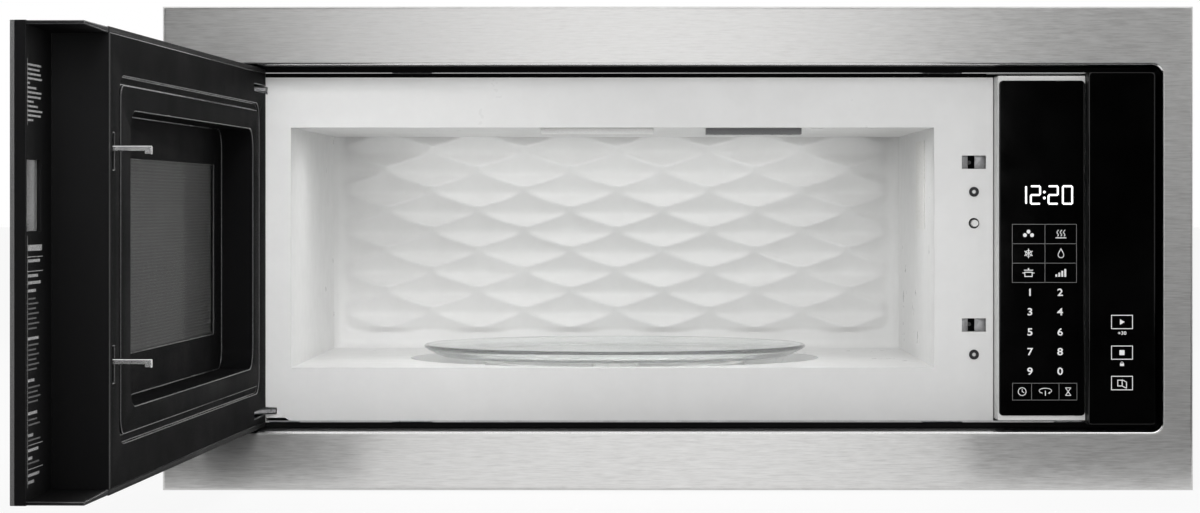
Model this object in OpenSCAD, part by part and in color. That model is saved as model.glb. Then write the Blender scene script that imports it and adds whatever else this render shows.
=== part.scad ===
// Built-in microwave oven with a stainless trim frame, door swung open to the left.
// X runs to the right, Y into the cabinet, Z up. The origin is the centre of the cabinet face plane,
// which is the plane of the rear of the trim backing frame.

/* [Trim frame] */
// Width of the stainless trim beside the opening
trim_side_w = 22.5; // [20:0.5:40]
// Height of the stainless trim above and below the opening
trim_edge_h = 43; // [38:0.5:60]
// How far the trim stands in front of the cabinet face
trim_depth = 19; // [17:0.5:24]
// Sheet thickness of the trim
trim_sheet = 1.2; // [0.8:0.1:1.6]
// Corner radius of the trim opening
trim_open_r = 8; // [4:1:12]

/* [Body] */
// Sheet thickness of the case, the cavity and the front plate
sheet = 1; // [0.8:0.1:1.2]
// Height of the feet
foot_h = 3; // [2:0.5:6]
// Space between the cavity and the rear of the case
rear_space = 25; // [22:1:60]
// Space between the cavity ceiling and the top of the case
roof_space = 41; // [35:1:60]
// Space between the cavity floor and the bottom of the case
floor_space = 41; // [38:1:60]

/* [Cavity] */
// Width of the cavity
cavity_w = 482; // [420:1:560]
// Height of the cavity
cavity_h = 180; // [160:1:240]
// Width of the white face between the hinge end and the cavity
hinge_jamb_w = 59.5; // [56:0.5:80]
// Width of the white face between the cavity and the keypad
latch_jamb_w = 44.1; // [42:0.1:60]
// Floor left in front of and behind the round recess
floor_margin = 9.5; // [6:0.5:30]
// Radius of the rounding where the back panel meets the walls
cove_r = 12; // [8:1:16]
// Width of one diamond of the pressed relief
diamond_w = 78.8; // [60:0.2:100]
// Height of one diamond of the pressed relief
diamond_h = 34.2; // [28:0.2:40]
// How far the diamonds stand out
diamond_rise = 4; // [2:0.5:6]

/* [Turntable] */
// Radius of the glass tray
tray_r = 152.5; // [140:0.5:170]
// Thickness of the glass of the tray
tray_glass = 4; // [3:0.5:5]
// Height of the tray rim above its underside
tray_rim_h = 10; // [9:0.5:12]
// Room around the tray in the recess of the floor
recess_gap = 10.5; // [8:0.5:14]
// Depth of the round recess in the cavity floor
recess_depth = 11; // [10.5:0.5:13]
// Radius of a roller
roller_r = 5.7; // [5.4:0.1:6.2]
// Radius of the circle that the rollers run on
roller_track_r = 112; // [100:1:118]

/* [Door] */
// Thickness of the door
door_t = 41.5; // [38:0.5:46]
// Thickness of the thin flange over the keypad, glass included
flange_t = 8.8; // [7.5:0.1:9.5]
// Thickness of the door glass
door_glass_t = 2.6; // [2:0.1:3]
// Wall of the door case
door_wall = 3; // [2.5:0.1:3.5]
// Angle between the shut door and the door as it stands open
door_open_angle = 92; // [88:1:94]
// Inner face between the hinge end of the door and the window well
well_left_margin = 60; // [55:1:80]
// Inner face between the window well and the latch end of the door
well_right_margin = 64.5; // [60:0.5:80]
// Inner face above and below the window well
well_edge_margin = 46.25; // [42:0.25:60]
// Width of the slope between the well and the perforated window, at its two ends
screen_end_margin = 32; // [20:1:45]
// Width of the slope above and below the perforated window
screen_edge_margin = 26.5; // [18:0.5:35]

/* [Latch] */
// Height of the upper hook above the centre
hook_upper_z = 64; // [58:0.5:72]
// Height of the lower hook, below the centre
hook_lower_z = -58; // [-64:0.5:-52]
// How far the hooks stand out of the inner face
hook_reach = 22; // [18:0.5:26]
// Travel of the latch lever
latch_travel = 3; // [2:0.5:3]
// Travel of the opener pin
opener_travel = 8; // [4:0.5:10]
// Travel of the interlock plungers
plunger_travel = 1.5; // [1:0.1:2]

/* [Controls] */
// Width of the keypad panel
keypad_w = 63.5; // [58:0.5:75]
// Width of the side touch panel
side_panel_w = 49.5; // [40:0.5:60]

/* [Hidden] */
$fn = 48;

// Clearances and shared allowances
e = 0.01; // keeps cut faces apart
seat_gap = 0.3; // between solids that only face each other
glass_gap = 0.1; // around glass and thin plates
pin_gap = 0.05; // radial clearance of a turning fit
weld_gap = 0.05; // between sheets that are welded edge to edge
case_clear = 6.5; // between the trim opening and the case, at each side
case_clear_z = 4; // the same above and below
plate_clear = 1; // between the case side and the front plate
side_clear = 4.9; // between the side panel and the trim opening
panel_gap = 1.6; // between the door and the side panel
door_clear_x = 2.5; // between the trim opening and the hinge end of the door
door_clear_z = 1.75; // above and below the door
box_setback = 2.1; // from the end of the front plate to the end of the door's box
flange_over = 2.5; // how much wider the door's flange is than the keypad

// Opening of the trim: what stands side by side in it, and what stands one above the other
flange_w = keypad_w + flange_over;
trim_open_w = case_clear + plate_clear + hinge_jamb_w + cavity_w + latch_jamb_w - box_setback
    + flange_w + panel_gap + side_panel_w + side_clear;
case_h = floor_space + cavity_h + roof_space;
trim_open_h = case_h + 2 * case_clear_z;
case_w = trim_open_w - 2 * case_clear;
trim_w = trim_open_w + 2 * trim_side_w;
trim_h = trim_open_h + 2 * trim_edge_h;

// Trim and what carries it
trim_lip = 10;
trim_rear_gap = 0.4;
backing_t = 1.5;
backing_gap = 0.5;
surround_wall = 2;
surround_r = 3;
surround_w = trim_open_w + 2 * surround_wall;
surround_h = trim_open_h + 2 * surround_wall;
surround_front_y = -trim_depth + trim_lip + seat_gap;
bracket_t = 1.5;
bracket_w = 30;
bracket_gap = 0.5;
bracket_x = case_w / 2 - 150;
bracket_z = 10;
bracket_flange = 12;
backing_open_w = surround_w + 2 * (bracket_gap + bracket_t + bracket_gap);
backing_open_h = surround_h + 2 * (bracket_gap + bracket_t + bracket_gap);
cabinet_hole_r = 2.2;
cabinet_hole_dx = trim_w - 78;
cabinet_hole_dz = trim_h - 40;
clip_x = [-300, -100, 100, 300];
clip_z = [-50, 50];
clip_w = 24;
clip_t = 1.2;
clip_h = 9;

// Depths, from the glass of the door to the rear of the case
door_front = -trim_depth + 2;
door_back = door_front + door_t;
plate_y = door_back + 1.5;
recess_r = tray_r + recess_gap;
cavity_depth = 2 * (recess_r + floor_margin);
cavity_front_y = plate_y + sheet;
cavity_back_y = plate_y + cavity_depth;
case_depth = cavity_back_y + rear_space;
case_front_y = plate_y + 7.5;
tray_y = plate_y + cavity_depth / 2;

// Case
web_t = 2;
case_top = case_h / 2;
louvre_w = 3;
louvre_l = 34;
louvre_pitch = 8;
screw_r = 1.9;
screw_head_r = 3.7;
screw_head_h = 1.1;
foot_r = 12;
foot_inset = 50;
gland_x = case_w / 2 - 50;
gland_z = -case_top + 35;
gland_hole_r = 8;
gland_bore_r = 4.5;

// Front plate and cavity
plate_left = -case_w / 2 + plate_clear;
pocket_right = plate_left + 38;
pocket_y = plate_y + 8;
plate_top = case_top - 3.6;
plate_bottom = -case_top + 1.4;
plate_fold = 12;
cavity_left = plate_left + hinge_jamb_w;
cavity_right = cavity_left + cavity_w;
cavity_x = (cavity_left + cavity_right) / 2;
cavity_floor = -case_top + floor_space;
cavity_top = case_top - roof_space;
cavity_z = (cavity_floor + cavity_top) / 2;
plate_right = cavity_right + latch_jamb_w;
relief_border = 8;
relief_t = 2;
slot_x = plate_right - 14.4;
slot_w = 18;
slot_h = 10;
plate_screw_z = [hook_upper_z - 22.2, hook_lower_z - 22.1];
opener_z = hook_upper_z - 45.7;
opener_r = 2.5;
opener_hole_r = 2.8;
hinge_slot_z = [plate_top - 9.9, plate_bottom + 7.5];
hinge_slot_h = 5.2;
hinge_slot_right = [pocket_right + 4, pocket_right + 11];
ceiling_y = plate_y + 34;
lamp_x = cavity_x - 12;
lamp_cover_w = 85;
vent_x = cavity_x + 106.5;
vent_w = 72;
cover_depth = 30;

// Turntable stack
recess_floor = cavity_floor - recess_depth;
roller_z = recess_floor + seat_gap + roller_r;
tray_z = roller_z + roller_r + seat_gap;
shaft_r = 3;
coupler_hole_r = 12;
motor_r = 24.5;
motor_top = recess_floor - sheet - 1;
motor_h = 20;
motor_shelf = 0.7;
shaft_top = recess_floor + 6;
coupler_top = tray_z - 0.2;
axle_r = 2;
roller_w = 6;
roller_turns = [-90, 30, 150];
lug_h = 1.3;
lug_r = 3;

// Component bay
bay_left = cavity_right + sheet + 0.1;
guide_right = bay_left + 34;
magnetron_y = plate_y + 120;
magnetron_z = cavity_top - 42.5;
magnetron_w = 108;
magnetron_d = 38;
magnetron_h = 41;
yoke_w = 86;
yoke_t = 1.6;
fan_x = cavity_right + 79.5;
fan_z = case_top - 91;
fan_depth = 28;
fan_y = case_depth - seat_gap - fan_depth;
fan_frame = 120;
fan_r = 54;
fan_motor_r = 20;
fan_motor_d = 24;
duct_t = 1.5;
core_y = case_depth - 144;
capacitor_x = fan_x - 40;
capacitor_y = case_depth - 58;
capacitor_h = 78;
filter_y = case_depth - 131;
filter_z = -case_top + 69;

// Door, measured with the door shut
door_left = -trim_open_w / 2 + door_clear_x;
box_right = plate_right - box_setback;
door_right = box_right + flange_w;
door_h = trim_open_h - 2 * door_clear_z;
pivot_x = door_left + 21;
pivot_y = door_front + 17;
case_y = door_front + door_glass_t;
flange_back = door_front + flange_t;
roll_r = 12;
glass_left = door_left + roll_r;
pin_r = 2.5;
ear_t = 2.5;
ear_z = [door_h / 2 - 15.05, -door_h / 2 + 11.05];
well_left = door_left + well_left_margin;
well_right = box_right - well_right_margin;
well_x = (well_left + well_right) / 2;
well_w = well_right - well_left;
well_h = door_h - 2 * well_edge_margin;
well_r = 15;
well_t = 1.5;
well_floor_y = door_back - 25;
screen_w = well_w - 2 * screen_end_margin;
screen_h = well_h - 2 * screen_edge_margin;
screen_border = 8;
cover_t = 3;
choke_gap = 0.3;
screen_t = 0.8;
window_t = 0.6;
pan_t = 1.5;
pan_y = well_floor_y - pan_t - screen_t - window_t - 3 * glass_gap;
hook_x = slot_x - 1.7;
hook_w = 4;
hook_h = 3;
barb_h = 1.8;
cover_slot_w = 6;
cover_slot_top = hook_h / 2 + latch_travel + 4.5;
cover_slot_bottom = hook_h / 2 + barb_h + 8.7;
clock_x = plate_right + 38.4;
clock_z = 39.5;
clock_w = 42;
clock_h = 19;
window_x = clock_x + 5;
window_z = clock_z - 2.5;
window_w = 36;
window_h = 40;
front_wall = 1.6;
ear_room = 7;
ear_slot_h = 5;
pin_half = 9;
hinge_block_right = pivot_x + 9;
pan_left = hinge_block_right + seat_gap;
pan_right = box_right - door_wall - seat_gap;
pan_h = door_h - 2 * door_wall - 2 * seat_gap;
lever_y = pan_y + pan_t + seat_gap;
lever_w = 12;
lever_t = 4;
lever_low = hook_lower_z - 10;
spring_low = lever_low - 30;
spring_r = 2.2;
groove_w = box_right - door_left - 60.5;
groove_h = door_h - 53.5;
groove_r = 14;
groove_t = 5;
groove_depth = 2;
groove_x = (door_left + box_right) / 2;

// Controls
keypad_x = plate_right + 1.3 + keypad_w / 2;
keypad_y = flange_back + 4.2;
keypad_h = door_h - 18.5;
panel_glass_t = 2;
housing_wall = 2;
housing_left = keypad_x - keypad_w / 2 - 0.6;
housing_right = keypad_x + keypad_w / 2 + 0.3;
housing_h = trim_open_h - 15;
housing_back = plate_y + 32;
board_y = keypad_y + 16;
board_h = keypad_h - 24;
side_h = trim_open_h - 10.5;
side_left = door_right + panel_gap;
side_right = side_left + side_panel_w;
side_x = (side_left + side_right) / 2;

// Latch pocket
bracket_left = slot_x - 13.2;
bracket_right = plate_right - 1.2;
pocket_low = hook_lower_z - 32;
pocket_high = hook_upper_z + 16;
switch_y = door_back + hook_reach + 3.5;
latch_back = switch_y + 14;
opener_body_y = cavity_front_y + opener_travel + 7;
opener_bore = latch_back - opener_body_y - 5;
plunger_r = 1.4;
plunger_y = door_back + hook_reach - plunger_travel + glass_gap;
plunger_bore = 8.5;
pin_front_y = plate_y - 0.2 - opener_travel;
collar_y = opener_body_y - 3 - opener_travel;
collar_r = 4;
collar_t = 2;

// A block between two opposite corners
module block(low, high) translate(low) cube(high - low);

// A sheet lying in the XZ plane, from y towards the back
module upright(y, t) translate([0, y + t, 0]) rotate([90, 0, 0]) linear_extrude(t) children();

// A rod along Y, from y towards the back
module rod_y(x, z, r, y, length, fn = 48) translate([x, y, z]) rotate([-90, 0, 0])
    cylinder(r = r, h = length, $fn = fn);

// A rectangle with round corners, centred
module rounded(w, h, r) {
    square([w - 2 * r, h], center = true);
    square([w, h - 2 * r], center = true);
    for (sx = [-1, 1], sy = [-1, 1])
        translate([sx * (w / 2 - r), sy * (h / 2 - r)]) circle(r = r, $fn = 32);
}

// Turns what is drawn with the door shut to where the open door stands
module door_open() translate([pivot_x, pivot_y, 0]) rotate([0, 0, -door_open_angle])
    translate([-pivot_x, -pivot_y, 0]) children();

// Trim and mounting

module trim_frame() color("silver") {
    // face sheet
    upright(-trim_depth, trim_sheet) difference() {
        square([trim_w, trim_h], center = true);
        rounded(trim_open_w, trim_open_h, trim_open_r);
    }
    // outer rim back to the cabinet
    upright(-trim_depth, trim_depth - trim_rear_gap) difference() {
        square([trim_w, trim_h], center = true);
        square([trim_w - 2 * trim_sheet, trim_h - 2 * trim_sheet], center = true);
    }
    // bright return around the opening
    upright(-trim_depth, trim_lip) difference() {
        rounded(trim_open_w + 2 * trim_sheet, trim_open_h + 2 * trim_sheet, trim_open_r + trim_sheet);
        rounded(trim_open_w, trim_open_h, trim_open_r);
    }
}

module trim_backing_frame() color("dimgray") upright(-backing_t, backing_t) difference() {
    square([trim_w - 2 * (trim_sheet + backing_gap), trim_h - 2 * (trim_sheet + backing_gap)],
           center = true);
    square([backing_open_w, backing_open_h], center = true);
    for (sx = [-1, 1], sz = [-1, 1])
        translate([sx * cabinet_hole_dx / 2, sz * cabinet_hole_dz / 2]) circle(r = cabinet_hole_r);
}

// One spring clip: a channel open to the outside, drawn towards +Z from the trim's lip
module trim_clip() difference() {
    block([-clip_w / 2, -trim_depth + trim_sheet, 0], [clip_w / 2, -backing_t, clip_h]);
    block([-clip_w / 2 - 1, -trim_depth + trim_sheet + clip_t, clip_t],
          [clip_w / 2 + 1, -backing_t - clip_t, clip_h + 1]);
}

module trim_clips() color("darkgray") {
    for (x = clip_x, side = [0, 180]) rotate([0, side, 0])
        translate([x, 0, backing_open_h / 2 + 6]) trim_clip();
    for (z = clip_z, side = [90, -90]) rotate([0, side, 0])
        translate([z, 0, trim_w / 2 - trim_sheet - clip_h - 1]) trim_clip();
}

// One bracket, drawn for a case side at height rise and a surround that reaches out to reach
module mounting_bracket(rise, reach) {
    leg = reach + bracket_gap;
    // leg on the case
    block([-bracket_w / 2, case_front_y + 12, rise], [bracket_w / 2, case_front_y + 40, rise + bracket_t]);
    // riser behind the surround
    block([-bracket_w / 2, case_front_y + 10.5, rise], [bracket_w / 2, case_front_y + 12, leg + bracket_t]);
    // leg beside the surround
    block([-bracket_w / 2, -backing_t - bracket_t, leg],
          [bracket_w / 2, case_front_y + 12, leg + bracket_t]);
    // flange on the backing frame
    block([-bracket_w / 2, -backing_t - bracket_t, leg],
          [bracket_w / 2, -backing_t, leg + bracket_flange]);
}

module mounting_brackets() color("gray") {
    for (x = [-bracket_x, bracket_x], side = [0, 180]) rotate([0, side, 0])
        translate([x, 0, 0]) mounting_bracket(case_h / 2, surround_h / 2);
    for (z = [-bracket_z, bracket_z], side = [90, -90]) rotate([0, side, 0])
        translate([z, 0, 0]) mounting_bracket(case_w / 2, surround_w / 2);
}

module surround_bezel() color([0.03, 0.03, 0.03]) {
    upright(surround_front_y, case_front_y + web_t - surround_front_y) difference() {
        rounded(surround_w, surround_h, surround_r + surround_wall);
        rounded(trim_open_w, trim_open_h, surround_r);
    }
    // web that closes the gap to the case
    upright(case_front_y, web_t) difference() {
        rounded(surround_w, surround_h, surround_r + surround_wall);
        square([case_w + 2 * seat_gap, case_h + 2 * seat_gap], center = true);
    }
}

// Case

module louvres(count, length) for (i = [0 : count - 1])
    translate([(i - (count - 1) / 2) * louvre_pitch, 0]) square([louvre_w, length], center = true);

module outer_cover() color("darkgray") difference() {
    block([-case_w / 2, case_front_y, -case_top + sheet + seat_gap], [case_w / 2, case_depth, case_top]);
    block([-case_w / 2 + sheet, case_front_y - 1, -case_top],
          [case_w / 2 - sheet, case_depth + 1, case_top - sheet]);
    // louvres in the right side, beside the fan, and in the top over the lamp
    translate([case_w / 2, case_depth - 66, fan_z - 20]) rotate([90, 0, 90])
        linear_extrude(4 * sheet, center = true) louvres(11, louvre_l);
    translate([cavity_x, ceiling_y, case_top]) linear_extrude(4 * sheet, center = true)
        louvres(9, louvre_l);
}

module base_plate() color("gray") difference() {
    union() {
        block([-case_w / 2, case_front_y, -case_top], [case_w / 2, case_depth, -case_top + sheet]);
        for (side = [-1, 1]) translate([side * (case_w / 2 - 1.5 * sheet - seat_gap), 0, 0])
            block([-sheet / 2, plate_y + plate_fold + seat_gap, -case_top],
                  [sheet / 2, case_depth - 2, -case_top + 18]);
    }
    // rows of slots that let air out under the component bay
    translate([fan_x - 2, case_depth - 96, -case_top]) linear_extrude(4 * sheet, center = true)
        louvres(11, louvre_l);
}

module base_feet() color([0.1, 0.1, 0.1])
    for (side = [-1, 1], y = [case_front_y + foot_inset - 3.5, case_depth - foot_inset + 4])
        translate([side * (case_w / 2 - foot_inset), y, -case_top - foot_h])
            cylinder(r = foot_r, h = foot_h);

module back_panel() color("darkgray") difference() {
    upright(case_depth, sheet) square([case_w, case_h], center = true);
    translate([fan_x, case_depth, fan_z]) rotate([90, 0, 0])
        linear_extrude(6 * sheet, center = true) louvres(13, 2.4 * louvre_l);
    rod_y(gland_x, gland_z, gland_hole_r, case_depth - 1, 4 * sheet);
}

module cord_gland() color([0.08, 0.08, 0.08]) translate([gland_x, 0, gland_z]) rotate([-90, 0, 0])
    rotate_extrude() polygon([
        [gland_bore_r, case_depth - 6], [gland_hole_r + 2, case_depth - 6],
        [gland_hole_r + 2, case_depth - seat_gap / 3], [gland_hole_r - 0.2, case_depth - seat_gap / 3],
        [gland_hole_r - 0.2, case_depth + sheet + 0.1], [gland_hole_r + 3, case_depth + sheet + 0.1],
        [gland_hole_r + 1, case_depth + sheet + 5], [gland_bore_r, case_depth + sheet + 5]]);

// A cross-recess pan head with its shank: head at the origin towards -Y
module screw(length) difference() {
    union() {
        rod_y(0, 0, screw_head_r, -screw_head_h, screw_head_h);
        rod_y(0, 0, screw_r - 0.1, -e, length);
    }
    for (turn = [0, 90]) rotate([0, turn, 0])
        block([-2.2, -screw_head_h - 1, -0.5], [2.2, -screw_head_h + 0.8, 0.5]);
}

module case_screws() color("silver") {
    // along the back panel's edges, driven from behind
    for (x = [-1, -1 / 3, 1 / 3, 1] * (case_w / 2 - 20), side = [-1, 1])
        translate([x, case_depth + sheet, side * (case_top - 6)]) rotate([0, 0, 180])
            difference() {
                screw(sheet);
                block([-5, -e, -5], [5, 5, 5]);
            }
    // through the bracket flanges into the backing frame
    for (x = [-bracket_x, bracket_x], side = [-1, 1])
        translate([x, -backing_t - bracket_t, side * (surround_h / 2 + bracket_gap + 7)])
            difference() {
                screw(sheet);
                block([-5, -e, -5], [5, 5, 5]);
            }
}

// Front plate and cavity

module front_plate() color("white") difference() {
    union() {
        // pan with its top, bottom and right edges folded back
        block([pocket_right, plate_y, plate_bottom], [plate_right, plate_y + plate_fold, plate_top]);
        // sunk pocket that the hinge end of the door swings into
        block([plate_left, pocket_y, plate_bottom],
              [pocket_right + sheet, plate_y + plate_fold, plate_top]);
    }
    block([pocket_right + sheet, cavity_front_y, plate_bottom + sheet],
          [plate_right - sheet, plate_y + 2 * plate_fold, plate_top - sheet]);
    block([plate_left - 1, pocket_y + sheet, plate_bottom + sheet],
          [pocket_right + 2 * sheet, plate_y + 2 * plate_fold, plate_top - sheet]);
    // mouth of the cavity
    block([cavity_left, plate_y - 1, cavity_floor], [cavity_right, cavity_front_y + 1, cavity_top]);
    // latch slots, screw holes and opener hole
    for (z = [hook_upper_z, hook_lower_z])
        block([slot_x - slot_w / 2, plate_y - 1, z - slot_h / 2],
              [slot_x + slot_w / 2, cavity_front_y + 1, z + slot_h / 2]);
    for (z = plate_screw_z) rod_y(slot_x, z, screw_r, plate_y - 1, 3 * sheet);
    rod_y(slot_x, opener_z, opener_hole_r, plate_y - 1, 3 * sheet);
    // slots for the hinge ears, from the pocket into the face
    for (i = [0, 1])
        block([pocket_right - 6, plate_y - 1, hinge_slot_z[i] - hinge_slot_h / 2],
              [hinge_slot_right[i], pocket_y + 2 * sheet, hinge_slot_z[i] + hinge_slot_h / 2]);
    // drain notch in the lower edge
    upright(plate_y - 1, 2 * plate_fold) polygon([
        [pocket_right + 3, plate_bottom - 1], [pocket_right + 3, plate_bottom + 2.2],
        [pocket_right + 17, plate_bottom + 2.2], [pocket_right + 22, plate_bottom - 1]]);
}

module front_plate_screws() color("gray") for (z = plate_screw_z)
    translate([slot_x, plate_y, z]) screw(cavity_front_y - plate_y + 9);

// Cavity of five welded sheets: two sides, ceiling, floor with its drawn collar, and the round pan
module cavity_shell() color("white") {
    for (x = [cavity_left - sheet, cavity_right]) difference() {
        block([x, cavity_front_y, cavity_floor - sheet], [x + sheet, cavity_back_y, cavity_top + sheet]);
        // feed window behind the waveguide cover
        block([cavity_right - 1, magnetron_y - 30, magnetron_z - 26.5],
              [cavity_right + 3, magnetron_y + 29, magnetron_z + 26.5]);
    }
    cavity_ceiling();
    cavity_floor_sheet();
    // pan under the coupler and the rollers
    translate([cavity_x, tray_y, recess_floor - sheet]) difference() {
        cylinder(r = recess_r + sheet, h = sheet - weld_gap, $fn = 96);
        translate([0, 0, -1]) cylinder(r = coupler_hole_r, h = sheet + 2);
    }
}

// Ceiling sheet with its air and light holes
module cavity_ceiling() difference() {
    block([cavity_left + weld_gap, cavity_front_y, cavity_top],
          [cavity_right - weld_gap, cavity_back_y, cavity_top + sheet]);
    for (x = [-22 : 8 : 22], y = [-8 : 8 : 8])
        translate([vent_x + x, ceiling_y + y, cavity_top - 1]) cylinder(r = 2, h = 3, $fn = 13);
    block([lamp_x - 34.5, ceiling_y - 10, cavity_top - 1],
          [lamp_x + 34.5, ceiling_y + 10, cavity_top + 2]);
}

// Floor sheet, drawn down in a collar around the recess
module cavity_floor_sheet() difference() {
    union() {
        block([cavity_left + weld_gap, cavity_front_y, cavity_floor - sheet],
              [cavity_right - weld_gap, cavity_back_y, cavity_floor]);
        translate([cavity_x, tray_y, recess_floor])
            cylinder(r = recess_r + sheet, h = recess_depth, $fn = 96);
    }
    translate([cavity_x, tray_y, recess_floor - 1])
        cylinder(r = recess_r, h = recess_depth + 2, $fn = 96);
}

// Height of the relief at a half-diamond grid point: raised at the diamonds' middles
function relief_rise(i, j) = (i + j) % 2 == 0 ? diamond_rise : 0;

// The pressed diamonds: a thin sheet on a half-diamond grid that covers the panel
module diamond_sheet(columns, rows) {
    step_x = diamond_w / 2;
    step_z = diamond_h / 2;
    across = columns + 1;
    count = across * (rows + 1);
    front = [for (j = [0 : rows], i = [0 : columns])
        [(i - columns / 2) * step_x, -relief_rise(i, j), (j - rows / 2) * step_z]];
    back = [for (j = [0 : rows], i = [0 : columns])
        [(i - columns / 2) * step_x, relief_t, (j - rows / 2) * step_z]];
    // each grid cell is two triangles, split along the edge between the low corners
    cells = [for (j = [0 : rows - 1], i = [0 : columns - 1])
        let (a = j * across + i, b = a + 1, c = a + across, d = c + 1)
            (i + j) % 2 == 0 ? [[a, c, b], [b, c, d]] : [[a, c, d], [a, d, b]]];
    front_faces = [for (cell = cells) for (face = cell) [face[2], face[1], face[0]]];
    back_faces = [for (cell = cells) for (face = cell) [for (p = face) p + count]];
    rim = concat([for (i = [0 : columns - 1]) [i, i + 1]],
                 [for (j = [0 : rows - 1]) [j * across + columns, (j + 1) * across + columns]],
                 [for (i = [columns : -1 : 1]) [rows * across + i, rows * across + i - 1]],
                 [for (j = [rows : -1 : 1]) [j * across, (j - 1) * across]]);
    rim_faces = [for (s = rim) for (face = [[s[0], s[0] + count, s[1]], [s[1], s[0] + count, s[1] + count]])
        [face[2], face[1], face[0]]];
    polyhedron(concat(front, back), concat(front_faces, back_faces, rim_faces));
}

module cavity_back_panel() color("white") {
    relief_w = cavity_w - 2 * relief_border;
    relief_h = cavity_h - 2 * relief_border;
    // border and coves, cut out where the relief is
    difference() {
        block([cavity_left - sheet, cavity_back_y + seat_gap / 3, cavity_floor - sheet],
              [cavity_right + sheet, cavity_back_y + relief_t, cavity_top + sheet]);
        translate([cavity_x, 0, cavity_z]) upright(cavity_back_y - 1, relief_t + 2)
            rounded(relief_w, relief_h, cove_r);
    }
    intersection() {
        translate([cavity_x, cavity_back_y, cavity_z])
            diamond_sheet(2 * ceil(relief_w / diamond_w) + 2, 2 * ceil(relief_h / diamond_h) + 2);
        translate([cavity_x, 0, cavity_z]) upright(cavity_back_y - 2 * diamond_rise, 4 * diamond_rise)
            rounded(relief_w, relief_h, cove_r);
    }
    // coves along the floor and the two sides
    translate([cavity_left + seat_gap / 3, cavity_back_y + seat_gap / 3, cavity_floor + seat_gap / 3])
        rotate([0, 90, 0]) linear_extrude(cavity_w - 2 * seat_gap / 3) cove([-1, -1]);
    for (side = [0, 1]) translate([cavity_x + (2 * side - 1) * (cavity_w / 2 - seat_gap / 3),
                                   cavity_back_y + seat_gap / 3, cavity_floor + seat_gap / 3])
        linear_extrude(cavity_h - 2 * seat_gap / 3) cove([1 - 2 * side, -1]);
}

// Section of a concave fillet in the corner at the origin, towards the signs of side
module cove(side) difference() {
    translate([min(0, side[0] * relief_border), min(0, side[1] * relief_border)])
        square(relief_border);
    translate([side[0] * relief_border, side[1] * relief_border])
        circle(r = relief_border - 0.3, $fn = 64);
}

module waveguide_cover() color("ivory")
    block([cavity_right - 0.9, magnetron_y - 38, magnetron_z - 34.5],
          [cavity_right - 0.1, magnetron_y + 37, magnetron_z + 34.5]);

// A shallow cover under the cavity ceiling, with slots through it
module ceiling_cover(x, w, drop, slots) translate([x, ceiling_y, cavity_top]) difference() {
    wall = 1.2;
    block([-w / 2, -cover_depth / 2, -drop], [w / 2, cover_depth / 2, -glass_gap]);
    block([-w / 2 + wall, -cover_depth / 2 + wall, -drop + 1],
          [w / 2 - wall, cover_depth / 2 - wall, 1]);
    for (i = [1 : slots]) translate([w * (i / (slots + 1) - 1 / 2), 0, -drop - 1])
        block([-1, -10, 0], [1, 10, 3]);
}

module sensor_vent_cover() color("gray") ceiling_cover(vent_x, vent_w, 4.5, 9);

module lamp_cover() color("whitesmoke") ceiling_cover(lamp_x, lamp_cover_w, 4, 0);

// The lamp: a small bulb lying in its holder over the ceiling window
module oven_lamp() color("lightyellow") translate([lamp_x - 43.5, ceiling_y, cavity_top]) {
    difference() {
        block([0, -12, sheet + 0.1], [20, 12, 29]);
        block([1, -11, sheet - 1], [21, 11, 27]);
    }
    translate([0.5, 0, 15]) rotate([0, 90, 0]) rotate_extrude() polygon([
        [0, 0], [7, 0], [7, 16], [9.5, 22], [9.5, 48], [6, 54], [0, 56]]);
}

// Turntable

module turntable_motor() color("silver") translate([cavity_x, tray_y, 0]) difference() {
    union() {
        translate([0, 0, motor_top - motor_h]) cylinder(r = motor_r, h = motor_h);
        translate([0, 0, motor_top]) cylinder(r = 7, h = motor_shelf);
        block([-motor_r - 8, -6, motor_top - 1.5], [motor_r + 8, 6, motor_top + motor_shelf]);
    }
    translate([0, 0, motor_top - motor_h + 3]) cylinder(r = shaft_r + pin_gap, h = motor_h + 5);
    for (side = [-1, 1]) translate([side * (motor_r + 4), 0, motor_top - 3]) cylinder(r = 1.7, h = 6);
}

module motor_shaft() color("lightgray") translate([cavity_x, tray_y, motor_top - motor_h + 3.2])
    cylinder(r = shaft_r, h = shaft_top - motor_top + motor_h - 3.2);

// Three-winged coupler that sits on the shaft under the tray
module drive_coupler() color("whitesmoke") translate([cavity_x, tray_y, 0]) difference() {
    union() {
        translate([0, 0, recess_floor - sheet + 0.3])
            cylinder(r = coupler_hole_r - 1, h = sheet + 2);
        for (turn = [0, 120, 240]) rotate(turn)
            block([-2.5, 0, recess_floor + 1], [2.5, 20, coupler_top]);
        translate([0, 0, recess_floor]) cylinder(r = 6, h = coupler_top - recess_floor);
    }
    translate([0, 0, recess_floor - 3]) cylinder(r = shaft_r, h = shaft_top - recess_floor + 3);
}

// Glass tray with a dished rim, and three drive lugs beside the coupler's wings
module glass_tray() color([0.8, 0.9, 0.9, 0.5]) translate([cavity_x, tray_y, tray_z]) {
    rim = tray_r - tray_rim_h;
    rotate_extrude($fn = 128) polygon([
        [0, 0], [rim - 4, 0], [rim, 1.2], [tray_r - 2, tray_rim_h - 3], [tray_r, tray_rim_h - 2.4],
        [tray_r, tray_rim_h - 0.6], [tray_r - 1, tray_rim_h], [tray_r - 4, tray_rim_h - 0.6],
        [rim - 3, tray_glass + 0.8], [rim - 7, tray_glass], [0, tray_glass]]);
    for (turn = [60, 180, 300]) rotate(turn) translate([0, 14, -lug_h])
        cylinder(r = lug_r, h = lug_h + e);
}

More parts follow.
